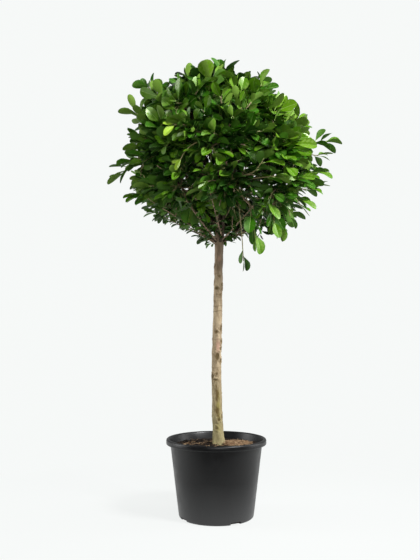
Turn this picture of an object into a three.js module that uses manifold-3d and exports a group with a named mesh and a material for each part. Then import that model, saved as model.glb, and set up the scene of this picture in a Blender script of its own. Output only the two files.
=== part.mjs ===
// A clipped standard tree in a nursery pot: one bare trunk that carries a round head of
// foliage. Millimetres, +Z up, the origin at the middle of the pot's flat underside.
// The front of the plant looks along -Y, so its right-hand side is +X.
import * as THREE from "three";
import { mergeVertices } from "three/addons/utils/BufferGeometryUtils.js";
import Module from "manifold-3d";

const wasm = await Module();
wasm.setup();

// Every two neighbouring solids keep this gap.
const GAP = 0.3;

// Pot: a tapering tub with a rolled rim and four drain slots at its foot.
const POT_HEIGHT = 305;
const POT_RIM_RADIUS = 200;
const POT_RIM_BAND = 22;
const POT_RIM_ROUND = 7;
const POT_TOP_RADIUS = 186;
const POT_FOOT_RADIUS = 148;
const POT_FOOT_ROUND = 9;
const POT_WALL = 4;
const POT_FLOOR = 5;
const POT_SIDES = 40;
const DRAIN_COUNT = 4;
const DRAIN_WIDTH = 46;
const DRAIN_HEIGHT = 11;
const DRAIN_DEPTH = 26;
const DRAIN_TURN = -150;

// Potting mix: it fills the pot to a little below the rim.
const SOIL_TOP = 278;

// Trunk: its centre line and radius from the soil up to its tip inside the head. It leans a
// little to one side and back, and flares in lobes where the roots begin.
const TRUNK_LINE = [
  { z: SOIL_TOP + GAP, x: 9, y: 0, radius: 28 },
  { z: 292, x: 8.5, y: 0, radius: 24.5 },
  { z: 330, x: 7, y: 1, radius: 22 },
  { z: 440, x: 3, y: 3, radius: 20.5 },
  { z: 580, x: 1, y: 4, radius: 19.5 },
  { z: 760, x: 5, y: 1, radius: 18.5 },
  { z: 920, x: 8.5, y: -2, radius: 17.5 },
  { z: 1060, x: 12, y: 0, radius: 17.5 },
  { z: 1110, x: 14, y: 0, radius: 20 },
  { z: 1165, x: 15, y: 0, radius: 16 },
  { z: 1200, x: 15, y: 0, radius: 10 },
];
const TRUNK_TOP = TRUNK_LINE.at(-1).z;
const TRUNK_SIDES = 10;
const TRUNK_STEPS = 22;
const FLARE_HEIGHT = 60;
const FLARE_LOBES = 5;
const FLARE_DEPTH = 0.1;

// Head: a ball of foliage round this centre. HEAD_OUTLINE is how far it reaches in the front
// view, every 15 degrees from the right-hand side upwards and on round.
const HEAD_CENTRE = new THREE.Vector3(15, 0, 1450);
const HEAD_REACH = 380;
const HEAD_OUTLINE = [
  395, 362, 325, 330, 342, 322, 354, 370, 378, 418, 408, 345,
  352, 392, 384, 360, 340, 345, 345, 360, 392, 408, 400, 418,
];
const HEAD_OVERSHOOT = 1.1;
// The underside of the head is a wide cone that opens upwards from the trunk. A layer of bare
// limbs and twigs lies over it, with no leaves.
const UNDERSIDE_APEX = 1055;
const UNDERSIDE_RISE = 30;
const BARE_LAYER = 60;
// The limbs rise through an open well in the middle of the head.
const WELL_RADIUS = 52;
const WELL_TOP = 1560;

// Rings of foliage masses, from the crest of the head down to its underside. A mass's centre
// stands out from the head's centre, at the angle tilt above the level. Each mass hangs on a
// bough of its own, which leaves the trunk at the height from and climbs at the angle rise.
const RINGS = [
  { name: "crest", count: 1, tilt: 90, turn: 0, out: 235, from: TRUNK_TOP + GAP, rise: 90 },
  { name: "upper", count: 4, tilt: 38, turn: 52, out: 235, from: 1160, rise: 74 },
  { name: "middle", count: 6, tilt: 0, turn: 30, out: 250, from: 1128, rise: 58 },
  { name: "lower", count: 6, tilt: -34, turn: 40, out: 262, from: 1092, rise: 20 },
];
const FIRST_SEED = 81;
const BOUGH_FOOT_RADIUS = 7.5;
const BOUGH_TIP_RADIUS = 4.5;
const BOUGH_SIDES = 6;
const BOUGH_STEPS = 4;
const BOUGH_BEND = 0.45;

// Core of a mass: a lumpy ball that fills this share of the mass's space.
const CORE_SHARE = 0.5;
const CORE_LUMP = 0.16;
const CORE_INSET = 14;
const STEM_SIDES = 5;
const STEM_TIP_RADIUS = 3.5;
const STEM_ENTRY = 22;
const STEM_OVERRUN = 1.05;

// Twigs: straight, three-sided, from a mass's stem to the face of the head.
const TWIG_COUNT = 140;
const TWIG_SIDES = 3;
const TWIG_FOOT_RADIUS = 4;
const TWIG_TIP_RADIUS = 3;
const TWIG_DEPTH = 14;
const TWIG_DEPTH_SPREAD = 46;

// Leaves: they stand round the end of a twig, and a leaf's blade touches nothing else.
const LEAVES_PER_TWIG = 3;
const LEAF_TRIES = 20;
const LEAF_LENGTH = 112;
const LEAF_WIDTH = 62;
const LEAF_THICKNESS = 2;
const LEAF_SINK = 1;
const LEAF_STALK = 0.12;
const LEAF_RIDGE = 0.5;
const LEAF_PLACES = 4;
const LEAF_SPACING = 12;
const LEAF_LEAN = 44;
const LEAF_LEAN_STEP = 14;
const LEAF_LEAN_SPREAD = 12;
const LEAF_SKYWARD = 0.35;
const LEAF_LEAST = 0.86;
const LEAF_SPREAD = 0.24;
// The blade's edge points: shares of its length and of its width, from the stalk round.
const LEAF_EDGE = [
  [0, 0],
  [0.6, 0.5],
  [0.95, 0.3],
  [0.95, -0.3],
  [0.6, -0.5],
];

// Long shoots that stand clear of the clipped ball, round the front view from the right-hand
// side upwards and on round. Each grows from the mass that its tip belongs to.
const LONG_SHOOTS = [
  { tip: [432, -110, 1482], leaves: 4 },
  { tip: [420, -20, 1450], leaves: 2 },
  { tip: [296, -60, 1617], leaves: 1 },
  { tip: [163, -60, 1730], leaves: 1 },
  { tip: [0, -40, 1780], leaves: 2 },
  { tip: [-115, -50, 1755], leaves: 1 },
  { tip: [-275, -80, 1712], leaves: 1 },
  { tip: [-325, -70, 1612], leaves: 2 },
  { tip: [-319, -80, 1511], leaves: 1 },
  { tip: [-330, -30, 1417], leaves: 2 },
  { tip: [-368, -90, 1356], leaves: 3 },
  { tip: [-315, -60, 1274], leaves: 2 },
  { tip: [399, -60, 1373], leaves: 2 },
  { tip: [381, -40, 1307], leaves: 2 },
  { tip: [337, -90, 1228], leaves: 2 },
  { tip: [288, -130, 1181], leaves: 2 },
  { tip: [223, -150, 1138], leaves: 3 },
  { tip: [148, -185, 1085], leaves: 3 },
  { tip: [103, -165, 1004], leaves: 2 },
];
const SHOOT_FOOT = 0.9;
const SHOOT_REACH = 0.75;
const SHOOT_RADIUS = 3;
const SHOOT_STEPS = 4;

// A twig or leaf stays this far inside its mass's space, and this far from every limb.
const SPACE_MARGIN = 1;
const LIMB_MARGIN = 3;
const LIMB_STATIONS = 24;

const UP = new THREE.Vector3(0, 0, 1);
const GOLDEN_ANGLE = Math.PI * (3 - Math.sqrt(5));
const { degToRad, lerp, mapLinear } = THREE.MathUtils;

const materials = {
  pot: new THREE.MeshStandardMaterial({ color: 0x2b2c2e, roughness: 0.5, metalness: 0 }),
  soil: new THREE.MeshStandardMaterial({ color: 0x3a2a1d, roughness: 0.95, metalness: 0 }),
  bark: new THREE.MeshStandardMaterial({ color: 0x8a7358, roughness: 0.85, metalness: 0 }),
  foliage: new THREE.MeshStandardMaterial({ color: 0x2f5f17, roughness: 0.45, metalness: 0 }),
};

// A repeatable number from 0 to 1 for each trio of whole numbers.
function chance(a, b, c) {
  const wave = Math.sin(a * 12.9898 + b * 78.233 + c * 37.719) * 43758.5453;
  return wave - Math.floor(wave);
}

// Turns a three.js geometry into a solid.
function solidOf(geometry) {
  const bare = geometry.clone();
  bare.deleteAttribute("normal");
  bare.deleteAttribute("uv");
  const merged = mergeVertices(bare, 1e-4);
  return new wasm.Manifold(
    new wasm.Mesh({
      numProp: 3,
      vertProperties: new Float32Array(merged.attributes.position.array),
      triVerts: new Uint32Array(merged.index.array),
    }),
  );
}

// Turns a solid back into a three.js geometry.
function geometryOf(solid) {
  const mesh = solid.getMesh();
  const places = new Float32Array(mesh.numVert * 3);
  for (let i = 0; i < mesh.numVert; i++) {
    const start = i * mesh.numProp;
    places.set(mesh.vertProperties.subarray(start, start + 3), i * 3);
  }
  return new THREE.BufferGeometry()
    .setAttribute("position", new THREE.BufferAttribute(places, 3))
    .setIndex(new THREE.BufferAttribute(mesh.triVerts, 1));
}

function makeNode(name, solid, material) {
  const mesh = new THREE.Mesh(geometryOf(solid), material);
  mesh.name = name;
  return mesh;
}

// Drops the scraps that a cut can leave beside the body.
function largestBody(solid) {
  const bodies = solid.decompose();
  bodies.sort((a, b) => b.volume() - a.volume());
  return bodies[0];
}

// A closed cylinder bent along a curve. radiusAt gives its radius for a share of the way and
// an angle round it.
function bentCylinder(curve, radiusAt, sides, steps) {
  const geometry = new THREE.CylinderGeometry(1, 1, 1, sides, steps);
  const frames = curve.computeFrenetFrames(steps, false);
  const place = geometry.getAttribute("position");
  for (let i = 0; i < place.count; i++) {
    const share = place.getY(i) + 0.5;
    const step = Math.round(share * steps);
    const across = frames.normals[step];
    const beside = new THREE.Vector3().crossVectors(across, frames.tangents[step]);
    const radius = radiusAt(share, Math.atan2(place.getZ(i), place.getX(i)));
    const point = curve
      .getPointAt(share)
      .addScaledVector(across, place.getX(i) * radius)
      .addScaledVector(beside, place.getZ(i) * radius);
    place.setXYZ(i, point.x, point.y, point.z);
  }
  return solidOf(geometry);
}

// Radius of the pot's outer wall, under its rim band, and of its inner wall.
function potOuterAt(z) {
  return mapLinear(z, 0, POT_HEIGHT, POT_FOOT_RADIUS, POT_TOP_RADIUS);
}

function potInnerAt(z) {
  return potOuterAt(z) - POT_WALL;
}

function makePot() {
  const top = POT_HEIGHT;
  const lip = POT_RIM_RADIUS;
  const round = POT_RIM_ROUND;
  const band = POT_HEIGHT - POT_RIM_BAND;
  const mouth = potInnerAt(POT_HEIGHT);
  const profile = new THREE.Path();
  profile.moveTo(0, 0);
  profile.lineTo(POT_FOOT_RADIUS - POT_FOOT_ROUND, 0);
  profile.quadraticCurveTo(POT_FOOT_RADIUS, 0, potOuterAt(POT_FOOT_ROUND), POT_FOOT_ROUND);
  profile.lineTo(potOuterAt(band - round), band - round);
  profile.lineTo(lip - round, band);
  profile.quadraticCurveTo(lip, band, lip, band + round);
  profile.lineTo(lip, top - round);
  profile.quadraticCurveTo(lip, top, lip - round, top);
  profile.lineTo(mouth + round, top);
  profile.quadraticCurveTo(mouth, top, mouth, top - round);
  profile.lineTo(potInnerAt(POT_FLOOR), POT_FLOOR);
  profile.lineTo(0, POT_FLOOR);
  const tub = new THREE.LatheGeometry(profile.getPoints(2), POT_SIDES);
  tub.rotateX(Math.PI / 2);
  let pot = solidOf(tub);
  for (let i = 0; i < DRAIN_COUNT; i++) {
    const slot = new THREE.BoxGeometry(2 * DRAIN_DEPTH, DRAIN_WIDTH, 2 * DRAIN_HEIGHT);
    slot.translate(POT_FOOT_RADIUS, 0, 0);
    slot.rotateZ(degToRad(DRAIN_TURN + (i * 360) / DRAIN_COUNT));
    pot = pot.subtract(solidOf(slot));
  }
  return pot;
}

// The mix stands on the pot's floor and keeps clear of the flats of its wall.
function makeSoil() {
  const foot = POT_FLOOR + GAP;
  const flat = Math.cos(Math.PI / POT_SIDES);
  const profile = [
    new THREE.Vector2(0, foot),
    new THREE.Vector2((potInnerAt(foot) - 2 * GAP) * flat, foot),
    new THREE.Vector2((potInnerAt(SOIL_TOP) - 2 * GAP) * flat, SOIL_TOP),
    new THREE.Vector2(0, SOIL_TOP),
  ];
  const geometry = new THREE.LatheGeometry(profile, POT_SIDES);
  geometry.rotateX(Math.PI / 2);
  return solidOf(geometry);
}

const trunkCurve = new THREE.CatmullRomCurve3(
  TRUNK_LINE.map(({ x, y, z }) => new THREE.Vector3(x, y, z)),
  false,
  "centripetal",
);

function trunkRadiusAt(z) {
  const after = TRUNK_LINE.findIndex((station) => station.z >= z);
  if (after <= 0) {
    return TRUNK_LINE.at(after).radius;
  }
  const low = TRUNK_LINE[after - 1];
  const high = TRUNK_LINE[after];
  return mapLinear(z, low.z, high.z, low.radius, high.radius);
}

// The trunk, made thicker all round by the swell given.
function makeTrunk(swell) {
  const radiusAt = (share, angle) => {
    const z = trunkCurve.getPointAt(share).z;
    const flare = Math.max(0, 1 - (z - SOIL_TOP) / FLARE_HEIGHT);
    const lobe = 1 + FLARE_DEPTH * flare * Math.cos(FLARE_LOBES * angle);
    return trunkRadiusAt(z) * lobe + swell;
  };
  return bentCylinder(trunkCurve, radiusAt, TRUNK_SIDES, TRUNK_STEPS);
}

// The foot is cut flat and level just above the soil.
function cutAtSoil(trunk) {
  const depth = 40;
  const block = new THREE.BoxGeometry(POT_RIM_RADIUS, POT_RIM_RADIUS, depth);
  block.translate(0, 0, SOIL_TOP + GAP - depth / 2);
  return trunk.subtract(solidOf(block));
}

// How far the head reaches in a direction from its centre.
function headReach(direction) {
  const count = HEAD_OUTLINE.length;
  const round = (Math.atan2(direction.z, direction.x) * count) / (2 * Math.PI);
  const low = Math.floor(round);
  const share = round - low;
  const smooth = share * share * (3 - 2 * share);
  const here = HEAD_OUTLINE[(low + count) % count];
  const next = HEAD_OUTLINE[(low + 1 + count) % count];
  const flat = direction.x * direction.x + direction.z * direction.z;
  return lerp(HEAD_REACH, lerp(here, next, smooth), flat);
}

// How far a point lies from the head's centre, as a share of the head's reach there.
function headShare(point) {
  const offset = point.clone().sub(HEAD_CENTRE);
  const distance = offset.length();
  return distance / headReach(offset.normalize());
}

// How far a point lies above the cone of the head's underside.
function heightOverUnderside(point) {
  const aside = Math.hypot(point.x - HEAD_CENTRE.x, point.y - HEAD_CENTRE.y);
  return point.z - UNDERSIDE_APEX - aside * Math.tan(degToRad(UNDERSIDE_RISE));
}

function outwardAt(point) {
  return point.clone().sub(HEAD_CENTRE).normalize();
}

function layOutMasses() {
  const masses = [];
  for (const ring of RINGS) {
    for (let i = 0; i < ring.count; i++) {
      const name = ring.name + "_" + (i + 1);
      const seed = FIRST_SEED + masses.length;
      const turn = degToRad(ring.turn + (i * 360) / ring.count);
      const tilt = degToRad(ring.tilt);
      const outward = new THREE.Vector3(
        Math.cos(tilt) * Math.cos(turn),
        Math.cos(tilt) * Math.sin(turn),
        Math.sin(tilt),
      );
      const out = (ring.out * headReach(outward)) / HEAD_REACH;
      const centre = HEAD_CENTRE.clone().addScaledVector(outward, out);
      masses.push({ name, seed, ring, turn, centre, tips: [] });
    }
  }
  return masses;
}

const masses = layOutMasses();

// Each mass's space is all that lies nearer to its centre than to any other, outside the
// well. This is the distance to the edge of that space, negative outside it.
function roomAt(mass, point) {
  let room = Infinity;
  for (const other of masses) {
    if (other !== mass) {
      const apart = mass.centre.distanceTo(other.centre);
      const far = point.distanceToSquared(other.centre);
      const near = point.distanceToSquared(mass.centre);
      room = Math.min(room, (far - near) / (2 * apart));
    }
  }
  if (point.z < WELL_TOP) {
    const aside = Math.hypot(point.x - HEAD_CENTRE.x, point.y - HEAD_CENTRE.y);
    room = Math.min(room, aside - WELL_RADIUS);
  }
  return room;
}

// How far one can go from a mass's centre in a direction and stay in its space and the head.
function massReach(mass, direction) {
  const stride = 4;
  let reach = 5 * stride;
  for (let step = reach; step < 2 * HEAD_REACH; step += stride) {
    const point = mass.centre.clone().addScaledVector(direction, step);
    if (roomAt(mass, point) < SPACE_MARGIN || headShare(point) > 1) {
      break;
    }
    reach = step;
  }
  return reach;
}

function coreReach(mass, direction) {
  const { x, y, z } = direction;
  const lump = Math.sin(x * 7 + mass.turn * 3) * Math.cos(y * 6 + z * 5);
  const reach = massReach(mass, direction);
  return Math.min(reach - CORE_INSET, reach * CORE_SHARE * (1 + CORE_LUMP * lump));
}

function makeCore(mass) {
  const ball = new THREE.IcosahedronGeometry(1, 1);
  const place = ball.getAttribute("position");
  const direction = new THREE.Vector3();
  for (let i = 0; i < place.count; i++) {
    direction.fromBufferAttribute(place, i).normalize();
    const point = mass.centre.clone().addScaledVector(direction, coreReach(mass, direction));
    place.setXYZ(i, point.x, point.y, point.z);
  }
  return solidOf(ball);
}

// A bough leaves the trunk at its ring's height and bends over to the edge of its mass.
function boughCurve(mass) {
  const foot = new THREE.Vector3(HEAD_CENTRE.x, HEAD_CENTRE.y, mass.ring.from);
  const inward = foot.clone().sub(mass.centre).normalize();
  const tip = mass.centre.clone();
  tip.addScaledVector(inward, coreReach(mass, inward) + STEM_ENTRY);
  const climb = degToRad(mass.ring.rise);
  const lead = new THREE.Vector3(
    Math.cos(mass.turn) * Math.cos(climb),
    Math.sin(mass.turn) * Math.cos(climb),
    Math.sin(climb),
  );
  const bend = foot.clone().addScaledVector(lead, foot.distanceTo(tip) * BOUGH_BEND);
  return new THREE.QuadraticBezierCurve3(foot, bend, tip);
}

function makeBough(curve, swell) {
  const radiusAt = (share) =>
    lerp(BOUGH_FOOT_RADIUS, BOUGH_TIP_RADIUS, Math.sqrt(share)) + swell;
  return bentCylinder(curve, radiusAt, BOUGH_SIDES, BOUGH_STEPS);
}

// Points along a limb with its radius there, for keeping foliage off it.
function limbStations(curve, radiusAt) {
  return curve.getSpacedPoints(LIMB_STATIONS).map((point, i) => ({
    point,
    radius: radiusAt(i / LIMB_STATIONS, point),
  }));
}

// Twig tips are dealt out evenly over the face of the head, some deeper than others, and
// each belongs to the mass whose space it lies in.
function dealOutTips() {
  for (let i = 0; i < TWIG_COUNT; i++) {
    const height = 1 - (2 * i + 1) / TWIG_COUNT;
    const round = Math.sqrt(1 - height * height);
    const direction = new THREE.Vector3(
      round * Math.cos(i * GOLDEN_ANGLE),
      round * Math.sin(i * GOLDEN_ANGLE),
      height,
    );
    const depth = TWIG_DEPTH + TWIG_DEPTH_SPREAD * chance(i, 5, 0);
    const tip = HEAD_CENTRE.clone().addScaledVector(direction, headReach(direction) - depth);
    masses.find((mass) => roomAt(mass, tip) > TWIG_TIP_RADIUS)?.tips.push(tip);
  }
}

// True where all the points lie in the mass's space and clear of the limbs. A long shoot may
// leave the head, and nothing else may.
function isFree(points, mass, margin, isShoot) {
  return points.every(
    (point) =>
      roomAt(mass, point) > margin &&
      (isShoot || headShare(point) < HEAD_OVERSHOOT) &&
      stations.every(
        (station) => station.point.distanceTo(point) > station.radius + LIMB_MARGIN,
      ),
  );
}

// Places for leaves round the last part of a twig, turned on by the golden angle.
function leafPlaces(curve, seed, number) {
  const places = [];
  const length = curve.getLength();
  for (let i = 0; i < LEAF_TRIES; i++) {
    const back = 1 + (i % LEAF_PLACES) * LEAF_SPACING;
    const share = 1 - back / length;
    const root = curve.getPointAt(share);
    const ahead = curve.getTangentAt(share);
    const across = new THREE.Vector3(ahead.y, -ahead.x, 0).normalize();
    const turn = i * GOLDEN_ANGLE + number * 1.7 + chance(seed, number, i);
    across.applyAxisAngle(ahead, turn);
    const spread = LEAF_LEAN_SPREAD * chance(seed + 1, number, i);
    const lean = degToRad(LEAF_LEAN + (i % LEAF_PLACES) * LEAF_LEAN_STEP + spread);
    const direction = ahead.multiplyScalar(Math.cos(lean));
    direction.addScaledVector(across, Math.sin(lean));
    const face = outwardAt(root).addScaledVector(UP, LEAF_SKYWARD);
    const size = LEAF_LEAST + LEAF_SPREAD * chance(seed + 2, number, i);
    places.push({ root, direction, face, size });
  }
  return places;
}

// The corners of one leaf: its edge points and a low ridge point above them. start is the
// share of its length where it begins.
function leafCorners({ root, direction, face, size }, start) {
  const beside = new THREE.Vector3().crossVectors(face, direction).normalize();
  const above = new THREE.Vector3().crossVectors(direction, beside);
  const foot = root.clone().addScaledVector(direction, -LEAF_SINK);
  const corners = LEAF_EDGE.map(([along, side]) =>
    foot
      .clone()
      .addScaledVector(direction, Math.max(along, start) * LEAF_LENGTH * size)
      .addScaledVector(beside, side * LEAF_WIDTH * size),
  );
  const ridge = foot.clone().addScaledVector(direction, LEAF_RIDGE * LEAF_LENGTH * size);
  corners.push(ridge.addScaledVector(above, LEAF_THICKNESS));
  return corners;
}

// Five sloping faces meet at the ridge point, and three flat ones close the blade below.
function leafSolid(corners) {
  const ridge = corners.length - 1;
  const faces = [];
  for (let i = 0; i < ridge; i++) {
    faces.push((i + 1) % ridge, i, ridge);
  }
  for (let i = 1; i < ridge - 1; i++) {
    faces.push(0, i, i + 1);
  }
  return solidOf(new THREE.BufferGeometry().setFromPoints(corners).setIndex(faces));
}

// The stem goes on from the bough's tip to a little beyond the middle of the mass.
function stemCurve(mass, bough) {
  const foot = bough.getPointAt(1).addScaledVector(bough.getTangentAt(1), GAP);
  return new THREE.LineCurve3(foot, foot.clone().lerp(mass.centre, STEM_OVERRUN));
}

// A long shoot rises and then reaches out level, or hangs where its tip is low. It runs
// straight where it would otherwise leave its mass's space.
function shootCurve(mass, foot, tip) {
  const bend = foot.clone().lerp(tip, SHOOT_REACH);
  bend.z = Math.max(foot.z, tip.z);
  if (roomAt(mass, bend) < 2 * SHOOT_RADIUS) {
    bend.lerpVectors(foot, tip, 0.5);
  }
  return new THREE.QuadraticBezierCurve3(foot, bend, tip);
}

// The twigs of a mass: those to its tips on the head's face, and its long shoots.
function twigsOf(mass, stem) {
  const twigs = [];
  mass.tips.forEach((tip, number) => {
    const foot = stem.getPointAt(0.75 + 0.24 * chance(mass.seed, number, 6));
    const curve = new THREE.LineCurve3(foot, tip);
    const outer = curve.getSpacedPoints(8).slice(3);
    if (isFree(outer, mass, TWIG_FOOT_RADIUS, false)) {
      const radiusAt = (share) => lerp(TWIG_FOOT_RADIUS, TWIG_TIP_RADIUS, share);
      const solid = bentCylinder(curve, radiusAt, TWIG_SIDES, 1);
      twigs.push({ curve, solid, leaves: LEAVES_PER_TWIG, isShoot: false });
    }
  });
  for (const { tip, leaves } of LONG_SHOOTS) {
    const end = new THREE.Vector3(...tip);
    if (roomAt(mass, end) > SHOOT_RADIUS) {
      const curve = shootCurve(mass, stem.getPointAt(SHOOT_FOOT), end);
      const solid = bentCylinder(curve, () => SHOOT_RADIUS, TWIG_SIDES, SHOOT_STEPS);
      twigs.push({ curve, solid, leaves, isShoot: true });
    }
  }
  return twigs;
}

function makeFoliage(mass, bough) {
  const stem = stemCurve(mass, bough);
  const stemRadius = (share) => lerp(BOUGH_TIP_RADIUS, STEM_TIP_RADIUS, share);
  let solid = makeCore(mass).add(bentCylinder(stem, stemRadius, STEM_SIDES, 2));
  const twigs = twigsOf(mass, stem);
  for (const twig of twigs) {
    solid = solid.add(twig.solid);
  }
  twigs.forEach(({ curve, leaves, isShoot }, number) => {
    let kept = 0;
    for (const place of leafPlaces(curve, mass.seed, number)) {
      const corners = leafCorners(place, 0);
      const isBare = !isShoot && heightOverUnderside(place.root) < BARE_LAYER;
      if (kept === leaves || isBare || !isFree(corners, mass, SPACE_MARGIN, isShoot)) {
        continue;
      }
      const blade = leafSolid(leafCorners(place, LEAF_STALK));
      if (blade.intersect(solid).isEmpty()) {
        solid = solid.add(leafSolid(corners));
        kept += 1;
      }
    }
  });
  return solid;
}

const boughs = masses.map(boughCurve);
const stations = [
  ...limbStations(trunkCurve, (share, point) => trunkRadiusAt(point.z)),
  ...boughs.flatMap((curve) => limbStations(curve, () => BOUGH_FOOT_RADIUS)),
];
dealOutTips();

const plant = new THREE.Group();
plant.add(makeNode("pot", makePot(), materials.pot));
plant.add(makeNode("potting_mix", makeSoil(), materials.soil));
plant.add(makeNode("trunk", cutAtSoil(makeTrunk(0)), materials.bark));

// Each bough is cut clear of the trunk and of the boughs before it, and each mass of foliage
// is cut clear of them all.
const swollen = [makeTrunk(GAP)];
masses.forEach((mass, i) => {
  let bough = makeBough(boughs[i], 0);
  for (const limb of swollen) {
    bough = bough.subtract(limb);
  }
  swollen.push(makeBough(boughs[i], GAP));
  plant.add(makeNode("bough_" + mass.name, largestBody(bough), materials.bark));
});
masses.forEach((mass, i) => {
  let foliage = makeFoliage(mass, boughs[i]);
  for (const limb of swollen) {
    foliage = foliage.subtract(limb);
  }
  plant.add(makeNode("foliage_" + mass.name, largestBody(foliage), materials.foliage));
});

export default plant;
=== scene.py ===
# %% [markdown]
# # A clipped standard tree in a nursery pot
# The real object is a small tree that a grower has trained to one bare stem and clipped to a
# ball, in the black tub it is sold in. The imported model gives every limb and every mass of
# foliage its place, and this script dresses it: bark with relief, life-size leaves, a moulded
# pot and loose potting mix. All sizes are metres.

import math
from types import SimpleNamespace

import bpy
import numpy as np
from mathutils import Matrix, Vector


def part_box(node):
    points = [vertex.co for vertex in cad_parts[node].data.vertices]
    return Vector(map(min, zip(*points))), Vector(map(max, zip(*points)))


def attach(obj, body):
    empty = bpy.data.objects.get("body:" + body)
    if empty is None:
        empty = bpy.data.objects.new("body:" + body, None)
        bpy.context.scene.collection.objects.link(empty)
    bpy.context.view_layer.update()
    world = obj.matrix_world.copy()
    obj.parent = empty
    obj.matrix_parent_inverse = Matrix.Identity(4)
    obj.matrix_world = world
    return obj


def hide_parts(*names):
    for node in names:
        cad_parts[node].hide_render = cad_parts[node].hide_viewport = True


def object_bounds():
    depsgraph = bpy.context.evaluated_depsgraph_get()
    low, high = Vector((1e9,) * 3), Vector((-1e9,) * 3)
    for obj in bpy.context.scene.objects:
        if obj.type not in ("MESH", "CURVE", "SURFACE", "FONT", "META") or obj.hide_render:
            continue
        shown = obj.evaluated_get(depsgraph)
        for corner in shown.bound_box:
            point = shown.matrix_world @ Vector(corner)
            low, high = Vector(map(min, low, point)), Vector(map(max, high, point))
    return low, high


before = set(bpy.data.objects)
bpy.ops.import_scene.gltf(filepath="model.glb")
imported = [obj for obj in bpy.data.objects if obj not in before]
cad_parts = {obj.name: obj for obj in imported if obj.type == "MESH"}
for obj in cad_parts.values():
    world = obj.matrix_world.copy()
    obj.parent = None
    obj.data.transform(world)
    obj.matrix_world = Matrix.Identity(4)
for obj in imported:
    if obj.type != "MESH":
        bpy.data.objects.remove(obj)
cad_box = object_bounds()
print("the frame holds", len(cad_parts), "nodes and is", round(cad_box[1].z, 3), "m high")

# %% [markdown]
# The camera stands where the photographer stood: low, a long step away, and tilted up a
# little, so that the pot's mouth shows as a narrow ring and the head is seen slightly from
# below. Its sensor's width goes on the long side of the upright picture.

# %% Camera
CAMERA_PLACE = (-0.0251, -2.700, 0.728)
CAMERA_PITCH = math.radians(94.48)
CAMERA_LENS = 42.67
bpy.ops.object.camera_add(location=CAMERA_PLACE, rotation=(CAMERA_PITCH, 0, 0))
camera = bpy.context.object
camera.data.lens = CAMERA_LENS
bpy.context.scene.camera = camera
print("camera lens", CAMERA_LENS, "mm")

# %% [markdown]
# A material is a small tree of nodes. Every finish here starts from the same few lines: a
# Principled shader, Object coordinates, and noise that moves the colour between two tones
# and gives the surface its bump. A helper makes that start, and each finish then sets its own
# numbers. What is the same all over is set on the shader's own sockets.

# %% Helpers for materials
def new_finish(name, roughness, specular=0.5):
    material = bpy.data.materials.new(name)
    material.use_nodes = True
    shader = material.node_tree.nodes["Principled BSDF"]
    shader.inputs["Roughness"].default_value = roughness
    shader.inputs["Specular IOR Level"].default_value = specular
    return material, material.node_tree, shader


def add_noise(tree, scale, detail=4.0, stretch=(1, 1, 1), roughness=0.5):
    place = tree.nodes.new("ShaderNodeTexCoord")
    mapping = tree.nodes.new("ShaderNodeMapping")
    mapping.inputs["Scale"].default_value = stretch
    noise = tree.nodes.new("ShaderNodeTexNoise")
    noise.inputs["Scale"].default_value = scale
    noise.inputs["Detail"].default_value = detail
    noise.inputs["Roughness"].default_value = roughness
    tree.links.new(place.outputs["Object"], mapping.inputs["Vector"])
    tree.links.new(mapping.outputs["Vector"], noise.inputs["Vector"])
    return noise.outputs["Fac"]


def add_coordinate(tree, axis, kind="Object"):
    """One of the three coordinates of the point that is shaded."""
    place = tree.nodes.new("ShaderNodeTexCoord")
    split = tree.nodes.new("ShaderNodeSeparateXYZ")
    tree.links.new(place.outputs[kind], split.inputs["Vector"])
    return split.outputs[axis]


def add_math(tree, operation, *values):
    sum_node = tree.nodes.new("ShaderNodeMath")
    sum_node.operation = operation
    for socket, value in zip(sum_node.inputs, values):
        if isinstance(value, float):
            socket.default_value = value
        else:
            tree.links.new(value, socket)
    return sum_node.outputs["Value"]


def add_range(tree, source, low, high, to_low, to_high):
    spread = tree.nodes.new("ShaderNodeMapRange")
    for socket, value in zip(("From Min", "From Max", "To Min", "To Max"),
                             (low, high, to_low, to_high)):
        spread.inputs[socket].default_value = value
    tree.links.new(source, spread.inputs["Value"])
    return spread.outputs["Result"]


def add_ramp(tree, source, stops):
    ramp = tree.nodes.new("ShaderNodeValToRGB")
    while len(ramp.color_ramp.elements) < len(stops):
        ramp.color_ramp.elements.new(0.5)
    for element, (place, colour) in zip(ramp.color_ramp.elements, stops):
        element.position = place
        element.color = (*colour, 1)
    tree.links.new(source, ramp.inputs["Fac"])
    return ramp.outputs["Color"]


# %% Helpers that mix and finish
# A Mix node has sockets of the same name for each kind of value. These are the colour ones.
MIX_COLOURS = (6, 7)
MIX_RESULT = 2


def add_mix(tree, share, first, second, blend="MIX"):
    """Mixes two colours, each a tone or a socket, by a share that is a number or a socket."""
    mix = tree.nodes.new("ShaderNodeMix")
    mix.data_type = "RGBA"
    mix.blend_type = blend
    if isinstance(share, float):
        mix.inputs["Factor"].default_value = share
    else:
        tree.links.new(share, mix.inputs["Factor"])
    for socket, value in zip(MIX_COLOURS, (first, second)):
        if isinstance(value, tuple):
            mix.inputs[socket].default_value = (*value, 1)
        else:
            tree.links.new(value, mix.inputs[socket])
    return mix.outputs[MIX_RESULT]


def add_plain_shader(tree, kind, tone):
    plain = tree.nodes.new(kind)
    plain.inputs["Color"].default_value = (*tone, 1)
    return plain.outputs[0]


def add_shader_mix(tree, share, first, second):
    mix = tree.nodes.new("ShaderNodeMixShader")
    for socket, value in zip(mix.inputs, (share, first, second)):
        tree.links.new(value, socket)
    return mix.outputs["Shader"]


def add_bump(tree, shader, source, strength, distance):
    bump = tree.nodes.new("ShaderNodeBump")
    bump.inputs["Strength"].default_value = strength
    bump.inputs["Distance"].default_value = distance
    tree.links.new(source, bump.inputs["Height"])
    tree.links.new(bump.outputs["Normal"], shader.inputs["Normal"])


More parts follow.
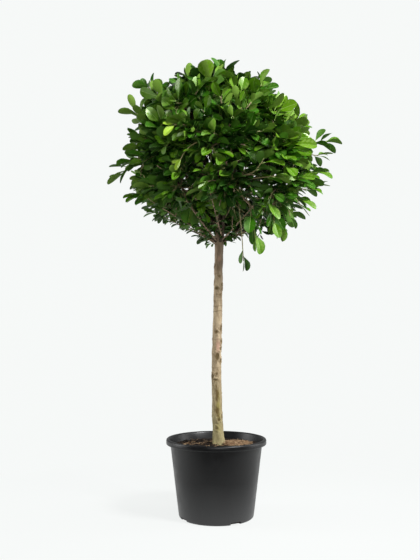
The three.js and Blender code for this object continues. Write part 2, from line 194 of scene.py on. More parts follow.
def flecked_finish(name, gloss, noise, stops, relief, relief_noise=None):
    """Tones that follow one noise, and a bump from the same noise or from a finer one."""
    material, tree, shader = new_finish(name, *gloss)
    fleck = add_noise(tree, *noise)
    tree.links.new(add_ramp(tree, fleck, stops), shader.inputs["Base Color"])
    height = add_noise(tree, *relief_noise) if relief_noise else fleck
    add_bump(tree, shader, height, *relief)
    return material


# %% [markdown]
# A finished piece has to ride on the frame's body and hide the plain solids that it stands for.
# One helper does both, so no piece is forgotten.
# Others pick one piece before an operator is used, since operators act on all that is
# selected and the loaded frame comes in selected, draw a ring on by one step, subdivide a
# piece, and turn arrays of corners into a mesh.

# %% Helpers for pieces
def deselect():
    if bpy.context.mode != "OBJECT":
        bpy.ops.object.mode_set(mode="OBJECT")
    bpy.ops.object.select_all(action="DESELECT")


def pick(piece):
    deselect()
    piece.select_set(True)
    bpy.context.view_layer.objects.active = piece


def settle(piece, slot, *nodes):
    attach(piece, "root")
    if nodes:
        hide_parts(*nodes)
    triangles = sum(len(face.vertices) - 2 for face in piece.data.polygons)
    print(piece.name, "has", triangles, "triangles")


def add_disc(name, corners, radius, place=(0, 0, 0)):
    deselect()
    bpy.ops.mesh.primitive_circle_add(
        vertices=corners, radius=radius, fill_type="NGON", location=place
    )
    disc = bpy.context.object
    disc.name = name
    bpy.ops.object.transform_apply(location=True, rotation=True, scale=True)
    return disc


def draw_ring(step, share, centre):
    """Extrudes the selected ring by one step and resizes it round its new centre."""
    bpy.ops.mesh.extrude_edges_move(TRANSFORM_OT_translate={"value": step})
    bpy.ops.transform.resize(value=(share, share, 1), center_override=centre)


def subdivide(piece, levels):
    """Subdivides a piece, which has to be the active one."""
    finer = piece.modifiers.new("finer", "SUBSURF")
    finer.levels = levels
    finer.render_levels = levels
    bpy.ops.object.modifier_apply(modifier="finer")


# %% Helpers for arrays
def corners_of(piece):
    corners = np.empty(len(piece.data.vertices) * 3)
    piece.data.vertices.foreach_get("co", corners)
    return corners.reshape(-1, 3)


def place_shapes(shapes, places, axes, sizes):
    """The corners of many shapes, each scaled along three axes of its own and put in place."""
    corners = places[:, None]
    for k in range(3):
        corners = corners + shapes[..., k:k + 1] * (axes[k] * sizes[k][:, None])[:, None]
    return corners.reshape(-1, 3)


def repeat_faces(faces, corners, count):
    """The faces of many copies of one shape, whose corners follow on from copy to copy."""
    return [tuple(i * corners + k for k in face) for i in range(count) for face in faces]


def mesh_from_arrays(name, corners, faces, materials, face_materials=None):
    mesh = bpy.data.meshes.new(name)
    mesh.from_pydata(corners, [], faces)
    for material in materials:
        mesh.materials.append(material)
    if face_materials is not None:
        mesh.polygons.foreach_set("material_index", face_materials)
    mesh.shade_smooth()
    piece = bpy.data.objects.new(name, mesh)
    bpy.context.scene.collection.objects.link(piece)
    return piece


# %% [markdown]
# The photo was taken in a white studio: a seamless pale floor, a white background and broad
# soft light. The floor is one wide disc whose tone fades into the background's with distance,
# so no horizon shows. It is white all round to the eye, but to light and reflections only as
# far forward as the picture reaches, and dark in front of that. With surroundings that are
# brighter to the sides and behind, this gives the black pot its dark middle and the soft grey
# highlights down both edges.

# %% Floor
BACKGROUND = (0.925, 0.945, 0.935)
FLOOR_TONE = (0.74, 0.75, 0.745)
FLOOR_RADIUS = 60.0
FLOOR_CORNERS = 96
FLOOR_FADE = (0.35, 1.3)
FLOOR_GLOW = 0.87
SHEET_EDGE = (-0.64, -0.53)
ROOM_FLOOR = (0.02, 0.02, 0.02)
floor = add_disc("studio_floor", FLOOR_CORNERS, FLOOR_RADIUS)
floor_paint, tree, shader = new_finish("studio_floor_paint", 0.9, 0.0)
shader.inputs["Base Color"].default_value = (*FLOOR_TONE, 1)
place = tree.nodes.new("ShaderNodeTexCoord")
reach = tree.nodes.new("ShaderNodeVectorMath")
reach.operation = "LENGTH"
tree.links.new(place.outputs["Object"], reach.inputs[0])
fade = add_range(tree, reach.outputs["Value"], *FLOOR_FADE, FLOOR_GLOW, 1)
glow = add_plain_shader(tree, "ShaderNodeEmission", BACKGROUND)
faded = add_shader_mix(tree, fade, shader.outputs["BSDF"], glow)
sheet = add_range(tree, add_coordinate(tree, "Y"), *SHEET_EDGE, 0, 1)
path = tree.nodes.new("ShaderNodeLightPath")
shown = add_math(tree, "MAXIMUM", sheet, path.outputs["Is Camera Ray"])
dark = add_plain_shader(tree, "ShaderNodeBsdfDiffuse", ROOM_FLOOR)
surface = tree.nodes["Material Output"].inputs["Surface"]
tree.links.new(add_shader_mix(tree, shown, dark, faded), surface)
floor.data.materials.append(floor_paint)
print("the floor fades into the background from", FLOOR_FADE[0], "to", FLOOR_FADE[1], "m")

# %% Studio surroundings
ROOM_FRONT = (0.065, 0.067, 0.069)
ROOM_BACK = (0.42, 0.43, 0.43)
ROOM_DEPTH = (-0.55, 0.25)
world = bpy.data.worlds.new("studio")
world.use_nodes = True
bpy.context.scene.world = world
tree = world.node_tree
room = tree.nodes["Background"]
depth = add_range(tree, add_coordinate(tree, "Y", "Generated"), *ROOM_DEPTH, 0, 1)
tree.links.new(add_mix(tree, depth, ROOM_FRONT, ROOM_BACK), room.inputs["Color"])
seen = add_plain_shader(tree, "ShaderNodeBackground", BACKGROUND)
path = tree.nodes.new("ShaderNodeLightPath")
choice = add_shader_mix(tree, path.outputs["Is Camera Ray"], room.outputs["Background"], seen)
tree.links.new(choice, tree.nodes["World Output"].inputs["Surface"])
bpy.context.scene.view_settings.view_transform = "Standard"
print("the surroundings are set")

# %% [markdown]
# Four soft boxes light the plant. A small strong one high on the front right makes the glints
# on the leaves, a tall weak one on each side draws the grey highlights down the pot's edges,
# and one in front, level with the head, opens its shadows. Area lights are chosen because a
# plain sun or a spot would give hard edges of shade.

# %% Soft boxes
SOFT_BOXES = [
    # name, place, aims at, width, height, watts
    ("top_box", (2.1, -1.8, 3.0), (0, 0, 1.4), 0.9, 0.9, 185),
    ("left_box", (-3.0, 0.1, 1.3), (0, 0, 0.8), 1.2, 2.4, 62),
    ("right_box", (3.0, 0.3, 1.3), (0, 0, 0.8), 1.2, 2.4, 46),
    ("front_box", (0.4, -3.6, 1.4), (0, 0, 1.3), 1.8, 1.2, 56),
]
for name, place, aim, width, height, watts in SOFT_BOXES:
    bpy.ops.object.light_add(type="AREA", location=place)
    box = bpy.context.object
    box.name = name
    box.data.shape = "RECTANGLE"
    box.data.size = width
    box.data.size_y = height
    box.data.energy = watts
    box.rotation_euler = (Vector(aim) - Vector(place)).to_track_quat("-Z", "Y").to_euler()
print(len(SOFT_BOXES), "soft boxes")

# %% [markdown]
# The pot is injection-moulded: a thin tapering tub with a rolled rim. It is modelled the way
# a potter would think of it, as one ring that is drawn up the outside, rolled over at the rim
# and taken down the inside. Each step extrudes the ring and then resizes it, so the whole
# section is one list of heights and radii. The four drain slots are cut with a Boolean.

# %% Pot section
POT_FOOT = 0.148
POT_TAPER = 0.93
POT_WALL = 0.004
POT_FLOOR = 0.005
FOOT_ROUND = 0.009
FOOT_SWELL = 0.0008
BASE_RING = 0.03
WALL_HEIGHTS = (0.03, 0.08, 0.14, 0.20)
INNER_HEIGHTS = (0.2, 0.1)
RIM_BAND = 0.022
RIM_ROUND = 0.007
BAND_ROUND = 0.004
BAND_CREASE = 0.002
BAND_BELOW = (0.012, 0.001)
MOUTH_STEP = 0.004
CENTRE_RING = 0.06
RING_CORNERS = 128
pot_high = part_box("pot")[1]
rim_radius = pot_high.x
pot_height = pot_high.z
wall_top = rim_radius * POT_TAPER


def wall_at(height):
    """The wall's outer radius at a height."""
    return POT_FOOT + (wall_top - POT_FOOT) * height / pot_height


def quarter(centre_height, centre_radius, size, start):
    """A quarter of a circle in the section, from a start angle on."""
    steps = [math.radians(start + turn) for turn in (0, 30, 60, 90)]
    return [(centre_height + size * math.sin(t), centre_radius + size * math.cos(t)) for t in steps]


band = pot_height - RIM_BAND
lip = rim_radius - RIM_ROUND
mouth = wall_top - POT_WALL + MOUTH_STEP
section = [(0, POT_FOOT - BASE_RING)]
section += quarter(FOOT_ROUND, POT_FOOT - FOOT_ROUND + FOOT_SWELL, FOOT_ROUND, -90)
section += [(h, wall_at(h)) for h in (*WALL_HEIGHTS, band - BAND_BELOW[0])]
section += [(band - BAND_BELOW[1], wall_at(band)), (band, wall_at(band) + BAND_CREASE)]
section += [(band, lip - BAND_ROUND)]
section += quarter(band + BAND_ROUND, rim_radius - BAND_ROUND, BAND_ROUND, -90)
section += quarter(pot_height - RIM_ROUND, lip, RIM_ROUND, 0)
section += quarter(pot_height - RIM_ROUND, mouth + RIM_ROUND, RIM_ROUND, 90)
section += [(h, wall_at(h) - POT_WALL) for h in (band, *INNER_HEIGHTS, POT_FLOOR)]
section += [(POT_FLOOR, CENTRE_RING)]
print("the pot's section has", len(section), "rings")

# %% Draw the ring up, over and down
MERGE_DISTANCE = 0.00001
pot = add_disc("moulded_pot", RING_CORNERS, section[0][1])
bpy.ops.object.mode_set(mode="EDIT")
bpy.ops.mesh.select_all(action="SELECT")
bpy.ops.mesh.flip_normals()
bpy.ops.mesh.select_mode(type="EDGE")
for (height, radius), (next_height, next_radius) in zip(section, section[1:]):
    draw_ring((0, 0, next_height - height), next_radius / radius, (0, 0, next_height))
bpy.ops.mesh.edge_face_add()
bpy.ops.mesh.select_all(action="SELECT")
bpy.ops.mesh.remove_doubles(threshold=MERGE_DISTANCE)
bpy.ops.mesh.normals_make_consistent(inside=False)
bpy.ops.object.mode_set(mode="OBJECT")
print("the pot is", round(corners_of(pot)[:, 2].max(), 4), "m high")

# %% Cut the drain slots
DRAIN_COUNT = 4
DRAIN_WIDTH = 0.046
DRAIN_HEIGHT = 0.011
DRAIN_DEPTH = 0.026
DRAIN_ROUND = 0.004
DRAIN_TURN = math.radians(-150)
SHARP_FROM = math.radians(40)
for i in range(DRAIN_COUNT):
    around = DRAIN_TURN + i * math.tau / DRAIN_COUNT
    deselect()
    bpy.ops.mesh.primitive_cube_add(
        size=1,
        location=(POT_FOOT * math.cos(around), POT_FOOT * math.sin(around), 0),
        rotation=(0, 0, around),
        scale=(2 * DRAIN_DEPTH, DRAIN_WIDTH, 2 * DRAIN_HEIGHT),
    )
    cutter = bpy.context.object
    bpy.ops.object.transform_apply(location=True, rotation=True, scale=True)
    rounding = cutter.modifiers.new("rounding", "BEVEL")
    rounding.width = DRAIN_ROUND
    rounding.segments = 3
    bpy.ops.object.modifier_apply(modifier="rounding")
    pick(pot)
    cut = pot.modifiers.new("drain", "BOOLEAN")
    cut.operation = "DIFFERENCE"
    cut.solver = "EXACT"
    cut.object = cutter
    bpy.ops.object.modifier_apply(modifier="drain")
    bpy.data.objects.remove(cutter)
bpy.ops.object.shade_smooth_by_angle(angle=SHARP_FROM)
print("cut", DRAIN_COUNT, "drain slots")

# %% [markdown]
# Black nursery plastic is satin, never a mirror. Its lower part is lighter, partly dust from
# the yard and partly a painted reflection of the bright floor, and this thins out upwards. The
# mould leaves a very fine grain, so the noise works on colour, roughness and bump at three sizes.

# %% Pot finish
PLASTIC_TONE = (0.0022, 0.0022, 0.0025)
DUST_AND_REFLECTION_TONE = (0.029, 0.0295, 0.030)
DUST_AND_REFLECTION_WANDER = 0.06
DUST_AND_REFLECTION_HEIGHTS = (0.04, 0.19)
SATIN = (0.32, 0.44)
SATIN_NOISE = (0.3, 0.7)
plastic, tree, shader = new_finish("black_nursery_plastic", 0.38, 0.34)
height = add_coordinate(tree, "Z")
# Dust and painted reflection of the floor: the plastic is lighter towards its foot.
ragged = add_math(tree, "MULTIPLY_ADD", add_noise(tree, 9, 5, (1, 1, 0.5)), DUST_AND_REFLECTION_WANDER, height)
dust_and_reflection = add_range(tree, ragged, *DUST_AND_REFLECTION_HEIGHTS, 1, 0)
tone = add_ramp(tree, dust_and_reflection, [(0.0, PLASTIC_TONE), (1.0, DUST_AND_REFLECTION_TONE)])
tree.links.new(tone, shader.inputs["Base Color"])
satin = add_range(tree, add_noise(tree, 30, 4), *SATIN_NOISE, *SATIN)
tree.links.new(satin, shader.inputs["Roughness"])
add_bump(tree, shader, add_noise(tree, 420, 2), 0.12, 0.0006)
pot.data.materials.append(plastic)
settle(pot, "pot", "pot")

# %% [markdown]
# The potting mix is a plug that fills the tub. Only its top shows, so a disc is inset ring by
# ring until it is fine enough to carry relief, and the relief is written straight into the
# vertices: a low mound round the trunk, and crumbs of three sizes.

# %% Potting mix
SOIL_RINGS = 30
SOIL_DROP = 0.003
WALL_GAP = 0.0006
EDGE_SHARE = 0.995
MOUND = 0.007
MOUND_WIDTH = 0.08
CRUMB = 0.0045
soil_low, soil_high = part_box("potting_mix")
soil_top = soil_high.z - SOIL_DROP
soil_radius = wall_at(soil_high.z) - POT_WALL - WALL_GAP


def mound_at(places):
    """How high the mound round the trunk stands at each place."""
    away = np.hypot(places[:, 0], places[:, 1])
    return MOUND * np.exp(-((away / MOUND_WIDTH) ** 2))


rng = np.random.default_rng(7)
soil = add_disc("potting_mix_crumbs", RING_CORNERS, soil_radius, (0, 0, soil_top))
bpy.ops.object.mode_set(mode="EDIT")
bpy.ops.mesh.select_all(action="SELECT")
for i in range(SOIL_RINGS):
    bpy.ops.mesh.inset(thickness=soil_radius / (SOIL_RINGS + 1), use_even_offset=False)
bpy.ops.object.mode_set(mode="OBJECT")
co = corners_of(soil)
inner = np.hypot(co[:, 0], co[:, 1]) < soil_radius * EDGE_SHARE
lumps = (
    np.sin(co[:, 0] * 61 + 1.3) * np.cos(co[:, 1] * 53)
    + 0.6 * np.sin(co[:, 0] * 133 + co[:, 1] * 97)
    + 0.9 * rng.normal(size=len(co))
)
co[:, 2] += inner * (mound_at(co) + CRUMB * 0.5 * lumps)
soil.data.vertices.foreach_set("co", co.ravel())
print("the potting mix's top has", len(soil.data.polygons), "faces")

# %% Close the plug down to the pot's floor
pick(soil)
bpy.ops.object.mode_set(mode="EDIT")
bpy.ops.mesh.select_mode(type="EDGE")
bpy.ops.mesh.select_all(action="DESELECT")
bpy.ops.mesh.select_non_manifold(extend=False, use_wire=False, use_multi_face=False,
                                 use_non_contiguous=False, use_verts=False)
narrow = (wall_at(soil_low.z) - POT_WALL - WALL_GAP) / soil_radius
draw_ring((0, 0, soil_low.z - soil_top), narrow, (0, 0, soil_low.z))
bpy.ops.mesh.edge_face_add()
bpy.ops.mesh.select_all(action="SELECT")
bpy.ops.mesh.normals_make_consistent(inside=False)
bpy.ops.object.mode_set(mode="OBJECT")
bpy.ops.object.shade_smooth()
mix_finish = flecked_finish(
    "potting_mix_crumb", (0.95, 0.2), (160, 6, (1, 1, 1), 0.7),
    [(0.3, (0.004, 0.003, 0.002)), (0.55, (0.020, 0.012, 0.007)), (0.8, (0.070, 0.045, 0.027))],
    (0.8, 0.003), (300, 5),
)
soil.data.materials.append(mix_finish)
settle(soil, "potting_mix", "potting_mix")

# %% [markdown]
# Bark chips and dry fibres lie loose on the mix. They are hundreds of small things, so each
# kind is one joined mesh made from arrays: a chip is a flattened six-cornered splinter, a
# fibre is a thin bent strand. The chips lie all over the mix, and most of the fibres lie on
# the trunk's right, where the grower has topped it with coarse fibre.

# %% Bark chips
CHIP_COUNT = 900
CHIP_SIZE = (0.005, 0.015)
CHIP_WIDTH = (0.4, 0.8)
CHIP_THICKNESS = (0.0008, 0.0022)
CHIP_HEIGHT = 0.004
CHIP_EDGE = 0.022
CHIP_TILT = 0.45
rng = np.random.default_rng(11)


def scatter(count, radius, pull):
    """Places over a disc whose middle is pulled to the right."""
    turn = rng.uniform(0, math.tau, count)
    away = radius * np.sqrt(rng.uniform(0.02, 1, count))
    return np.stack([away * np.cos(turn) + pull, away * np.sin(turn)], axis=1)


def turned_axes(count, tilt):
    turn = rng.uniform(0, math.tau, count)
    dip = rng.uniform(-tilt, tilt, count)
    along = np.stack([np.cos(turn) * np.cos(dip), np.sin(turn) * np.cos(dip), np.sin(dip)], axis=1)
    across = np.stack([-np.sin(turn), np.cos(turn), np.zeros(count)], axis=1)
    return along, across, np.cross(along, across)


CHIP = np.array([(-1, 0, 0), (-0.4, -0.5, 0.1), (0.6, -0.42, 0), (1, 0.1, 0.05), (0.5, 0.5, 0),
                 (-0.5, 0.45, 0.1)])
CHIP_SHAPE = np.concatenate([CHIP + (0, 0, -0.5), CHIP + (0, 0, 0.5)])
CHIP_FACES = [(0, 5, 4, 3, 2, 1), (6, 7, 8, 9, 10, 11)]
CHIP_FACES += [(i, (i + 1) % 6, (i + 1) % 6 + 6, i + 6) for i in range(6)]
places = scatter(CHIP_COUNT, soil_radius - CHIP_EDGE, 0)
axes = turned_axes(CHIP_COUNT, CHIP_TILT)
length = rng.uniform(*CHIP_SIZE, CHIP_COUNT) * 0.5
width = length * rng.uniform(*CHIP_WIDTH, CHIP_COUNT)
thick = rng.uniform(*CHIP_THICKNESS, CHIP_COUNT)
height = soil_top + mound_at(places) + rng.uniform(0.0, CHIP_HEIGHT, CHIP_COUNT)
corners = place_shapes(CHIP_SHAPE, np.column_stack([places, height]), axes, (length, width, thick))
faces = repeat_faces(CHIP_FACES, len(CHIP_SHAPE), CHIP_COUNT)
print(CHIP_COUNT, "chips of", len(CHIP_FACES), "faces")

# %% Chip finishes
CHIP_TONES = [
    # name, tone, share of the chips
    ("dark", (0.010, 0.006, 0.004), 0.6),
    ("brown", (0.042, 0.024, 0.012), 0.33),
    ("dry", (0.200, 0.130, 0.070), 0.07),
]
chip_finishes = []
for tone_name, tone, _ in CHIP_TONES:
    finish, tree, shader = new_finish("bark_chip_" + tone_name, 0.85, 0.25)
    darker = tuple(value * 0.5 for value in tone)
    streak = add_noise(tree, 240, 4)
    tree.links.new(add_mix(tree, streak, darker, tone), shader.inputs["Base Color"])
    add_bump(tree, shader, streak, 0.5, 0.001)
    chip_finishes.append(finish)
tones = rng.choice(len(CHIP_TONES), CHIP_COUNT, p=[share for _, _, share in CHIP_TONES])
kinds = np.repeat(tones, len(CHIP_FACES))
chips = mesh_from_arrays("bark_chips", corners, faces, chip_finishes, kinds)
chips.data.shade_flat()
settle(chips, "potting_mix")

# %% [markdown]
# Every thin round thing on the plant, from a fibre to a twig, is the same mesh: rings of a
# few corners strung along a line of points, closed at both ends. One helper makes thousands
# of them at once from arrays of points and radii.

# %% Helper for strands
def strands(lines, radii, sides):
    """lines is (count, points, 3) and radii (count, points). Gives corners and faces."""
    count, steps = lines.shape[:2]
    ahead = np.gradient(lines, axis=1)
    ahead /= np.linalg.norm(ahead, axis=2, keepdims=True)
    guide = np.where(np.abs(ahead[:, :1, 2:]) > 0.9, (1.0, 0, 0), (0, 0, 1.0))
    across = np.cross(ahead, guide)
    across /= np.linalg.norm(across, axis=2, keepdims=True)
    beside = np.cross(ahead, across)
    turn = np.arange(sides) * math.tau / sides
    ring = (
        across[:, :, None] * np.cos(turn)[None, None, :, None]
        + beside[:, :, None] * np.sin(turn)[None, None, :, None]
    )
    corners = lines[:, :, None] + ring * radii[:, :, None, None]
    faces = []
    for s in range(0, (steps - 1) * sides, sides):
        for k in range(sides):
            after = (k + 1) % sides
            faces.append((s + k, s + after, s + sides + after, s + sides + k))
    last = (steps - 1) * sides
    faces += [tuple(range(sides))[::-1], tuple(range(last, last + sides))]
    return corners.reshape(-1, 3), repeat_faces(faces, steps * sides, count)


# %% Dry fibres
FIBRE_COUNT = 420
FIBRE_LOOSE = FIBRE_COUNT // 8
FIBRE_HEAP = (0.052, 0.082)
HEAP_STRETCH = (1, 1.5)
FIBRE_LENGTH = (0.018, 0.045)
FIBRE_HEIGHT = (0.002, 0.011)
FIBRE_RADIUS = 0.0007
FIBRE_SPREAD = (0.6, 1.3)
FIBRE_EDGE = 0.03
FIBRE_TILT = 0.2
FIBRE_BEND = 0.3
FIBRE_POINTS = 5
rng = np.random.default_rng(23)
places = np.concatenate([
    scatter(FIBRE_LOOSE, soil_radius - FIBRE_EDGE, 0),
    scatter(FIBRE_COUNT - FIBRE_LOOSE, *FIBRE_HEAP) * HEAP_STRETCH,
])
along, across, _ = turned_axes(FIBRE_COUNT, FIBRE_TILT)
length = rng.uniform(*FIBRE_LENGTH, FIBRE_COUNT)
bend = rng.uniform(-FIBRE_BEND, FIBRE_BEND, FIBRE_COUNT)
height = soil_top + mound_at(places) + rng.uniform(*FIBRE_HEIGHT, FIBRE_COUNT)
foot = np.column_stack([places, height])
share = np.linspace(-0.5, 0.5, FIBRE_POINTS)
lines = (
    foot[:, None]
    + along[:, None] * (share[None, :, None] * length[:, None, None])
    + across[:, None] * ((bend * length)[:, None, None] * (0.25 - share[None, :, None] ** 2) * 2)
)
radii = np.full(lines.shape[:2], FIBRE_RADIUS) * rng.uniform(*FIBRE_SPREAD, (FIBRE_COUNT, 1))
corners, faces = strands(lines, radii, 4)
dry = flecked_finish(
    "dry_fibre", (0.8, 0.3), (60, 3), [(0.35, (0.16, 0.085, 0.04)), (0.65, (0.42, 0.29, 0.17))],
    (0.3, 0.0004), (500, 2),
)
fibres = mesh_from_arrays("dry_fibres", corners, faces, [dry])
settle(fibres, "potting_mix")

# %% [markdown]
# The trunk is drawn up from one circle at the soil, ring by ring, through the same stations
# as the frame's trunk. The mesh is then subdivided until it can carry relief: flare lobes at
# the foot, soft swellings, fine lengthwise ridges, ring scars, and the knots where side
# shoots were rubbed off. One attribute for each kind of mark keeps how deep in it each point
# lies, for the colour.

# %% Trunk stations
TRUNK_LINE = [
    # height, x, y, radius
    (0.2783, 0.009, 0, 0.028),
    (0.292, 0.0085, 0, 0.0245),
    (0.330, 0.007, 0.001, 0.022),
    (0.440, 0.003, 0.003, 0.0205),
    (0.580, 0.001, 0.004, 0.0195),
    (0.760, 0.005, 0.001, 0.0185),
    (0.920, 0.0085, -0.002, 0.0175),
    (1.060, 0.012, 0, 0.0175),
    (1.110, 0.014, 0, 0.020),
    (1.165, 0.015, 0, 0.016),
    (1.200, 0.015, 0, 0.010),
]
TRUNK_TOP = TRUNK_LINE[-1][0]
line_z, line_x, line_y, line_r = np.array(TRUNK_LINE).T


def smooth_station(values, z):
    """Cubic between stations, with each station's slope from its two neighbours."""
    slope = np.gradient(values, line_z)
    i = np.clip(np.searchsorted(line_z, z) - 1, 0, len(line_z) - 2)
    span = line_z[i + 1] - line_z[i]
    t = (z - line_z[i]) / span
    return (
        (2 * t**3 - 3 * t**2 + 1) * values[i]
        + (t**3 - 2 * t**2 + t) * span * slope[i]
        + (3 * t**2 - 2 * t**3) * values[i + 1]
        + (t**3 - t**2) * span * slope[i + 1]
    )


# %% Draw the trunk up
TRUNK_CORNERS = 20
TRUNK_RINGS = 96
TRUNK_SUNK = 0.004
heights = np.linspace(line_z[0] - TRUNK_SUNK, TRUNK_TOP, TRUNK_RINGS)
inside = np.clip(heights, line_z[0], TRUNK_TOP)
ring_r = np.interp(inside, line_z, line_r)
rings = np.stack([smooth_station(line_x, inside), smooth_station(line_y, inside), heights], axis=1)
start = (line_x[0], line_y[0], heights[0])
trunk = add_disc("bark_trunk", TRUNK_CORNERS, line_r[0], start)
bpy.ops.object.mode_set(mode="EDIT")
bpy.ops.mesh.select_all(action="SELECT")
bpy.ops.mesh.flip_normals()
bpy.ops.mesh.select_mode(type="EDGE")
for i in range(1, TRUNK_RINGS):
    draw_ring(tuple(rings[i] - rings[i - 1]), ring_r[i] / ring_r[i - 1], tuple(rings[i]))
bpy.ops.mesh.edge_face_add()
bpy.ops.object.mode_set(mode="OBJECT")
subdivide(trunk, 2)
print("the trunk has", len(trunk.data.polygons), "faces")

# %% Marks in the bark
# Marks: height, turn round the trunk from the front in degrees, half height, half width and
# how strong they are.
KNOTS = [
    (0.998, -66, 0.007, 0.008, 0.8), (0.954, 10, 0.007, 0.007, 0.7), (0.932, -62, 0.010, 0.007, 0.5),
    (0.919, 60, 0.009, 0.008, 1.0), (0.901, 58, 0.006, 0.008, 0.9), (0.905, -18, 0.009, 0.007, 1.0),
    (0.878, 26, 0.008, 0.008, 0.7), (0.880, -16, 0.005, 0.005, 0.5), (0.742, 60, 0.016, 0.009, 1.0),
    (0.728, -10, 0.009, 0.007, 1.0), (0.690, 62, 0.009, 0.008, 0.9), (0.660, 62, 0.009, 0.008, 0.9),
    (0.630, 6, 0.017, 0.009, 1.2), (0.612, 58, 0.011, 0.009, 1.0), (0.560, 0, 0.006, 0.005, 0.8),
    (0.551, -56, 0.011, 0.009, 1.2), (0.536, -8, 0.006, 0.008, 0.9), (0.390, 58, 0.012, 0.008, 0.7),
    (0.378, 14, 0.008, 0.007, 0.8), (0.345, -12, 0.009, 0.007, 0.6),
    (0.800, 150, 0.009, 0.008, 0.9), (0.600, 190, 0.012, 0.008, 1.1), (0.480, 140, 0.012, 0.008, 0.9),
    (0.930, 215, 0.008, 0.007, 0.9), (0.690, 235, 0.010, 0.008, 0.8), (0.395, 225, 0.013, 0.008, 0.9),
    (1.040, 170, 0.008, 0.007, 0.7),
]
MARKS = {
    # name: colour, places
    "rubbed": ((0.400, 0.245, 0.175), [
        (0.672, 16, 0.026, 0.008, 0.9), (1.026, 6, 0.014, 0.008, 0.6), (0.860, 170, 0.02, 0.008, 0.8),
    ]),
    "algae": ((0.245, 0.205, 0.062), [
        (0.470, 22, 0.028, 0.006, 0.6), (0.434, 14, 0.024, 0.011, 0.85), (0.392, 18, 0.020, 0.008, 0.7),
        (0.350, 10, 0.024, 0.012, 0.5), (0.450, 200, 0.040, 0.012, 1.1), (0.372, 110, 0.03, 0.010, 0.9),
    ]),
    "damp": ((0.105, 0.068, 0.018), [
        (0.510, -2, 0.012, 0.005, 0.7), (0.482, 5, 0.024, 0.006, 1.1), (0.462, 0, 0.014, 0.007, 0.8),
        (0.414, -2, 0.017, 0.008, 1.1), (0.396, 8, 0.010, 0.006, 0.8), (0.520, 205, 0.024, 0.007, 1.0),
    ]),
    "knot": ((0.085, 0.053, 0.014), KNOTS),
}
# Ring scars: height and how dark they are.
SCARS = [(0.855, 0.25), (0.833, 0.40), (0.813, 0.50), (0.700, 0.25), (0.965, 0.30), (0.586, 0.25)]
print(len(KNOTS), "knots and", len(SCARS), "ring scars")

# %% Flare, swellings and ridges
FLARE_FOOT = 0.278
FLARE_HEIGHT = 0.060
FLARE_LOBES = 5
FLARE_DEPTH = 0.1
SWELLING = 0.0007
DIMPLE = 0.0006
RIDGE = 0.00028
FINE_RIPPLE = 0.00022
co = corners_of(trunk)
z = np.clip(co[:, 2], line_z[0], TRUNK_TOP)
axis = np.stack([smooth_station(line_x, z), smooth_station(line_y, z)], axis=1)
out = co[:, :2] - axis
radius = np.linalg.norm(out, axis=1)
angle = np.arctan2(out[:, 1], out[:, 0])
flare = np.clip(1 - (z - FLARE_FOOT) / FLARE_HEIGHT, 0, 1)
lift = radius * FLARE_DEPTH * flare * np.cos(FLARE_LOBES * angle)
lift += SWELLING * np.sin(z * 47 + 2 * np.sin(z * 19)) * np.sin(angle + z * 11)
lift += DIMPLE * np.sin(angle * 3 + z * 31) * np.cos(z * 83)
lift += RIDGE * np.sin(angle * 17 + 5 * np.sin(z * 60)) + FINE_RIPPLE * np.sin(z * 900 + angle * 4)
print("the bark rises by up to", round(lift.max() * 1000, 1), "mm")

# %% Knots and ring scars
KNOT_RIM = 0.0019
KNOT_RIM_AT = 1.15
KNOT_RIM_WIDTH = 0.16
KNOT_HOLLOW = 0.0013
KNOT_HOLLOW_WIDTH = 0.4
MARK_FADE = 0.9
SCAR_RIM = 0.0006
SCAR_HALF = 0.0026
SCAR_WAVE = 0.0015
CORE_RADIUS = 0.004
for name, (_, places) in MARKS.items():
    depth = np.zeros(len(co))
    for height, turn, half_height, half_width, strength in places:
        around = np.radians(turn - 90)
        aside = (np.mod(angle - around + math.pi, math.tau) - math.pi) * radius
        ragged = 1 + 0.25 * np.sin(z * 240 + turn) * np.sin(angle * 7 + z * 130)
        spot = np.hypot((z - height) / half_height, aside / half_width) * ragged
        if name == "knot":
            rim = KNOT_RIM * np.exp(-((spot - KNOT_RIM_AT) ** 2) / KNOT_RIM_WIDTH)
            lift += rim - KNOT_HOLLOW * np.exp(-(spot**2) / KNOT_HOLLOW_WIDTH)
        depth = np.maximum(depth, strength * np.exp(-(spot**2) / MARK_FADE))
    if name == "knot":
        for height, strength in SCARS:
            line = np.exp(-(((z - height + SCAR_WAVE * np.sin(angle * 2)) / SCAR_HALF) ** 2))
            lift += SCAR_RIM * line
            depth = np.maximum(depth, strength * line)
    marks = trunk.data.attributes.new(name, "FLOAT", "POINT")
    marks.data.foreach_set("value", depth.astype(np.float32))
outer = radius > CORE_RADIUS
co[:, :2] += np.where(outer, lift / np.maximum(radius, 1e-6), 0)[:, None] * out
trunk.data.vertices.foreach_set("co", co.ravel())
bpy.ops.object.shade_smooth()
print(len(MARKS), "kinds of mark laid on the trunk")

# %% [markdown]
# This bark is thin and smooth, light grey-tan, with olive algae towards the foot. Just under
# the head it is painted darker, a painted shadow of the head that lightens again inside it,
# and high on its right side it is painted darker, as painted shade. Dark knots, rubbed places,
# algae and damp streaks are mixed in by the attributes. Height decides between the tones, with
# noise to fray the borders, and a stretched noise gives the lengthwise streaks.

# %% Bark finish
BARK_WANDER = 0.45
BARK_HEIGHTS = (0.5, 1.42)
BARK_FLECKS = ((0.50, 0.45, 0.38), (1.16, 1.15, 1.12))
BARK_FLECK_EDGES = (0.36, 0.66)
BARK_FLECK_SHARE = 0.9
INNER_LIGHTER = 1.6
SIDE_SHADE_TONE = (0.105, 0.080, 0.055)
SIDE_SHADE_EDGES = (0.010, 0.025)
SIDE_SHADE_HEIGHTS = (0.80, 1.05)
SIDE_SHADE_SHARES = (0.15, 0.75)
MARK_EDGES = (0.08, 0.72)
MARK_MOST = 0.92


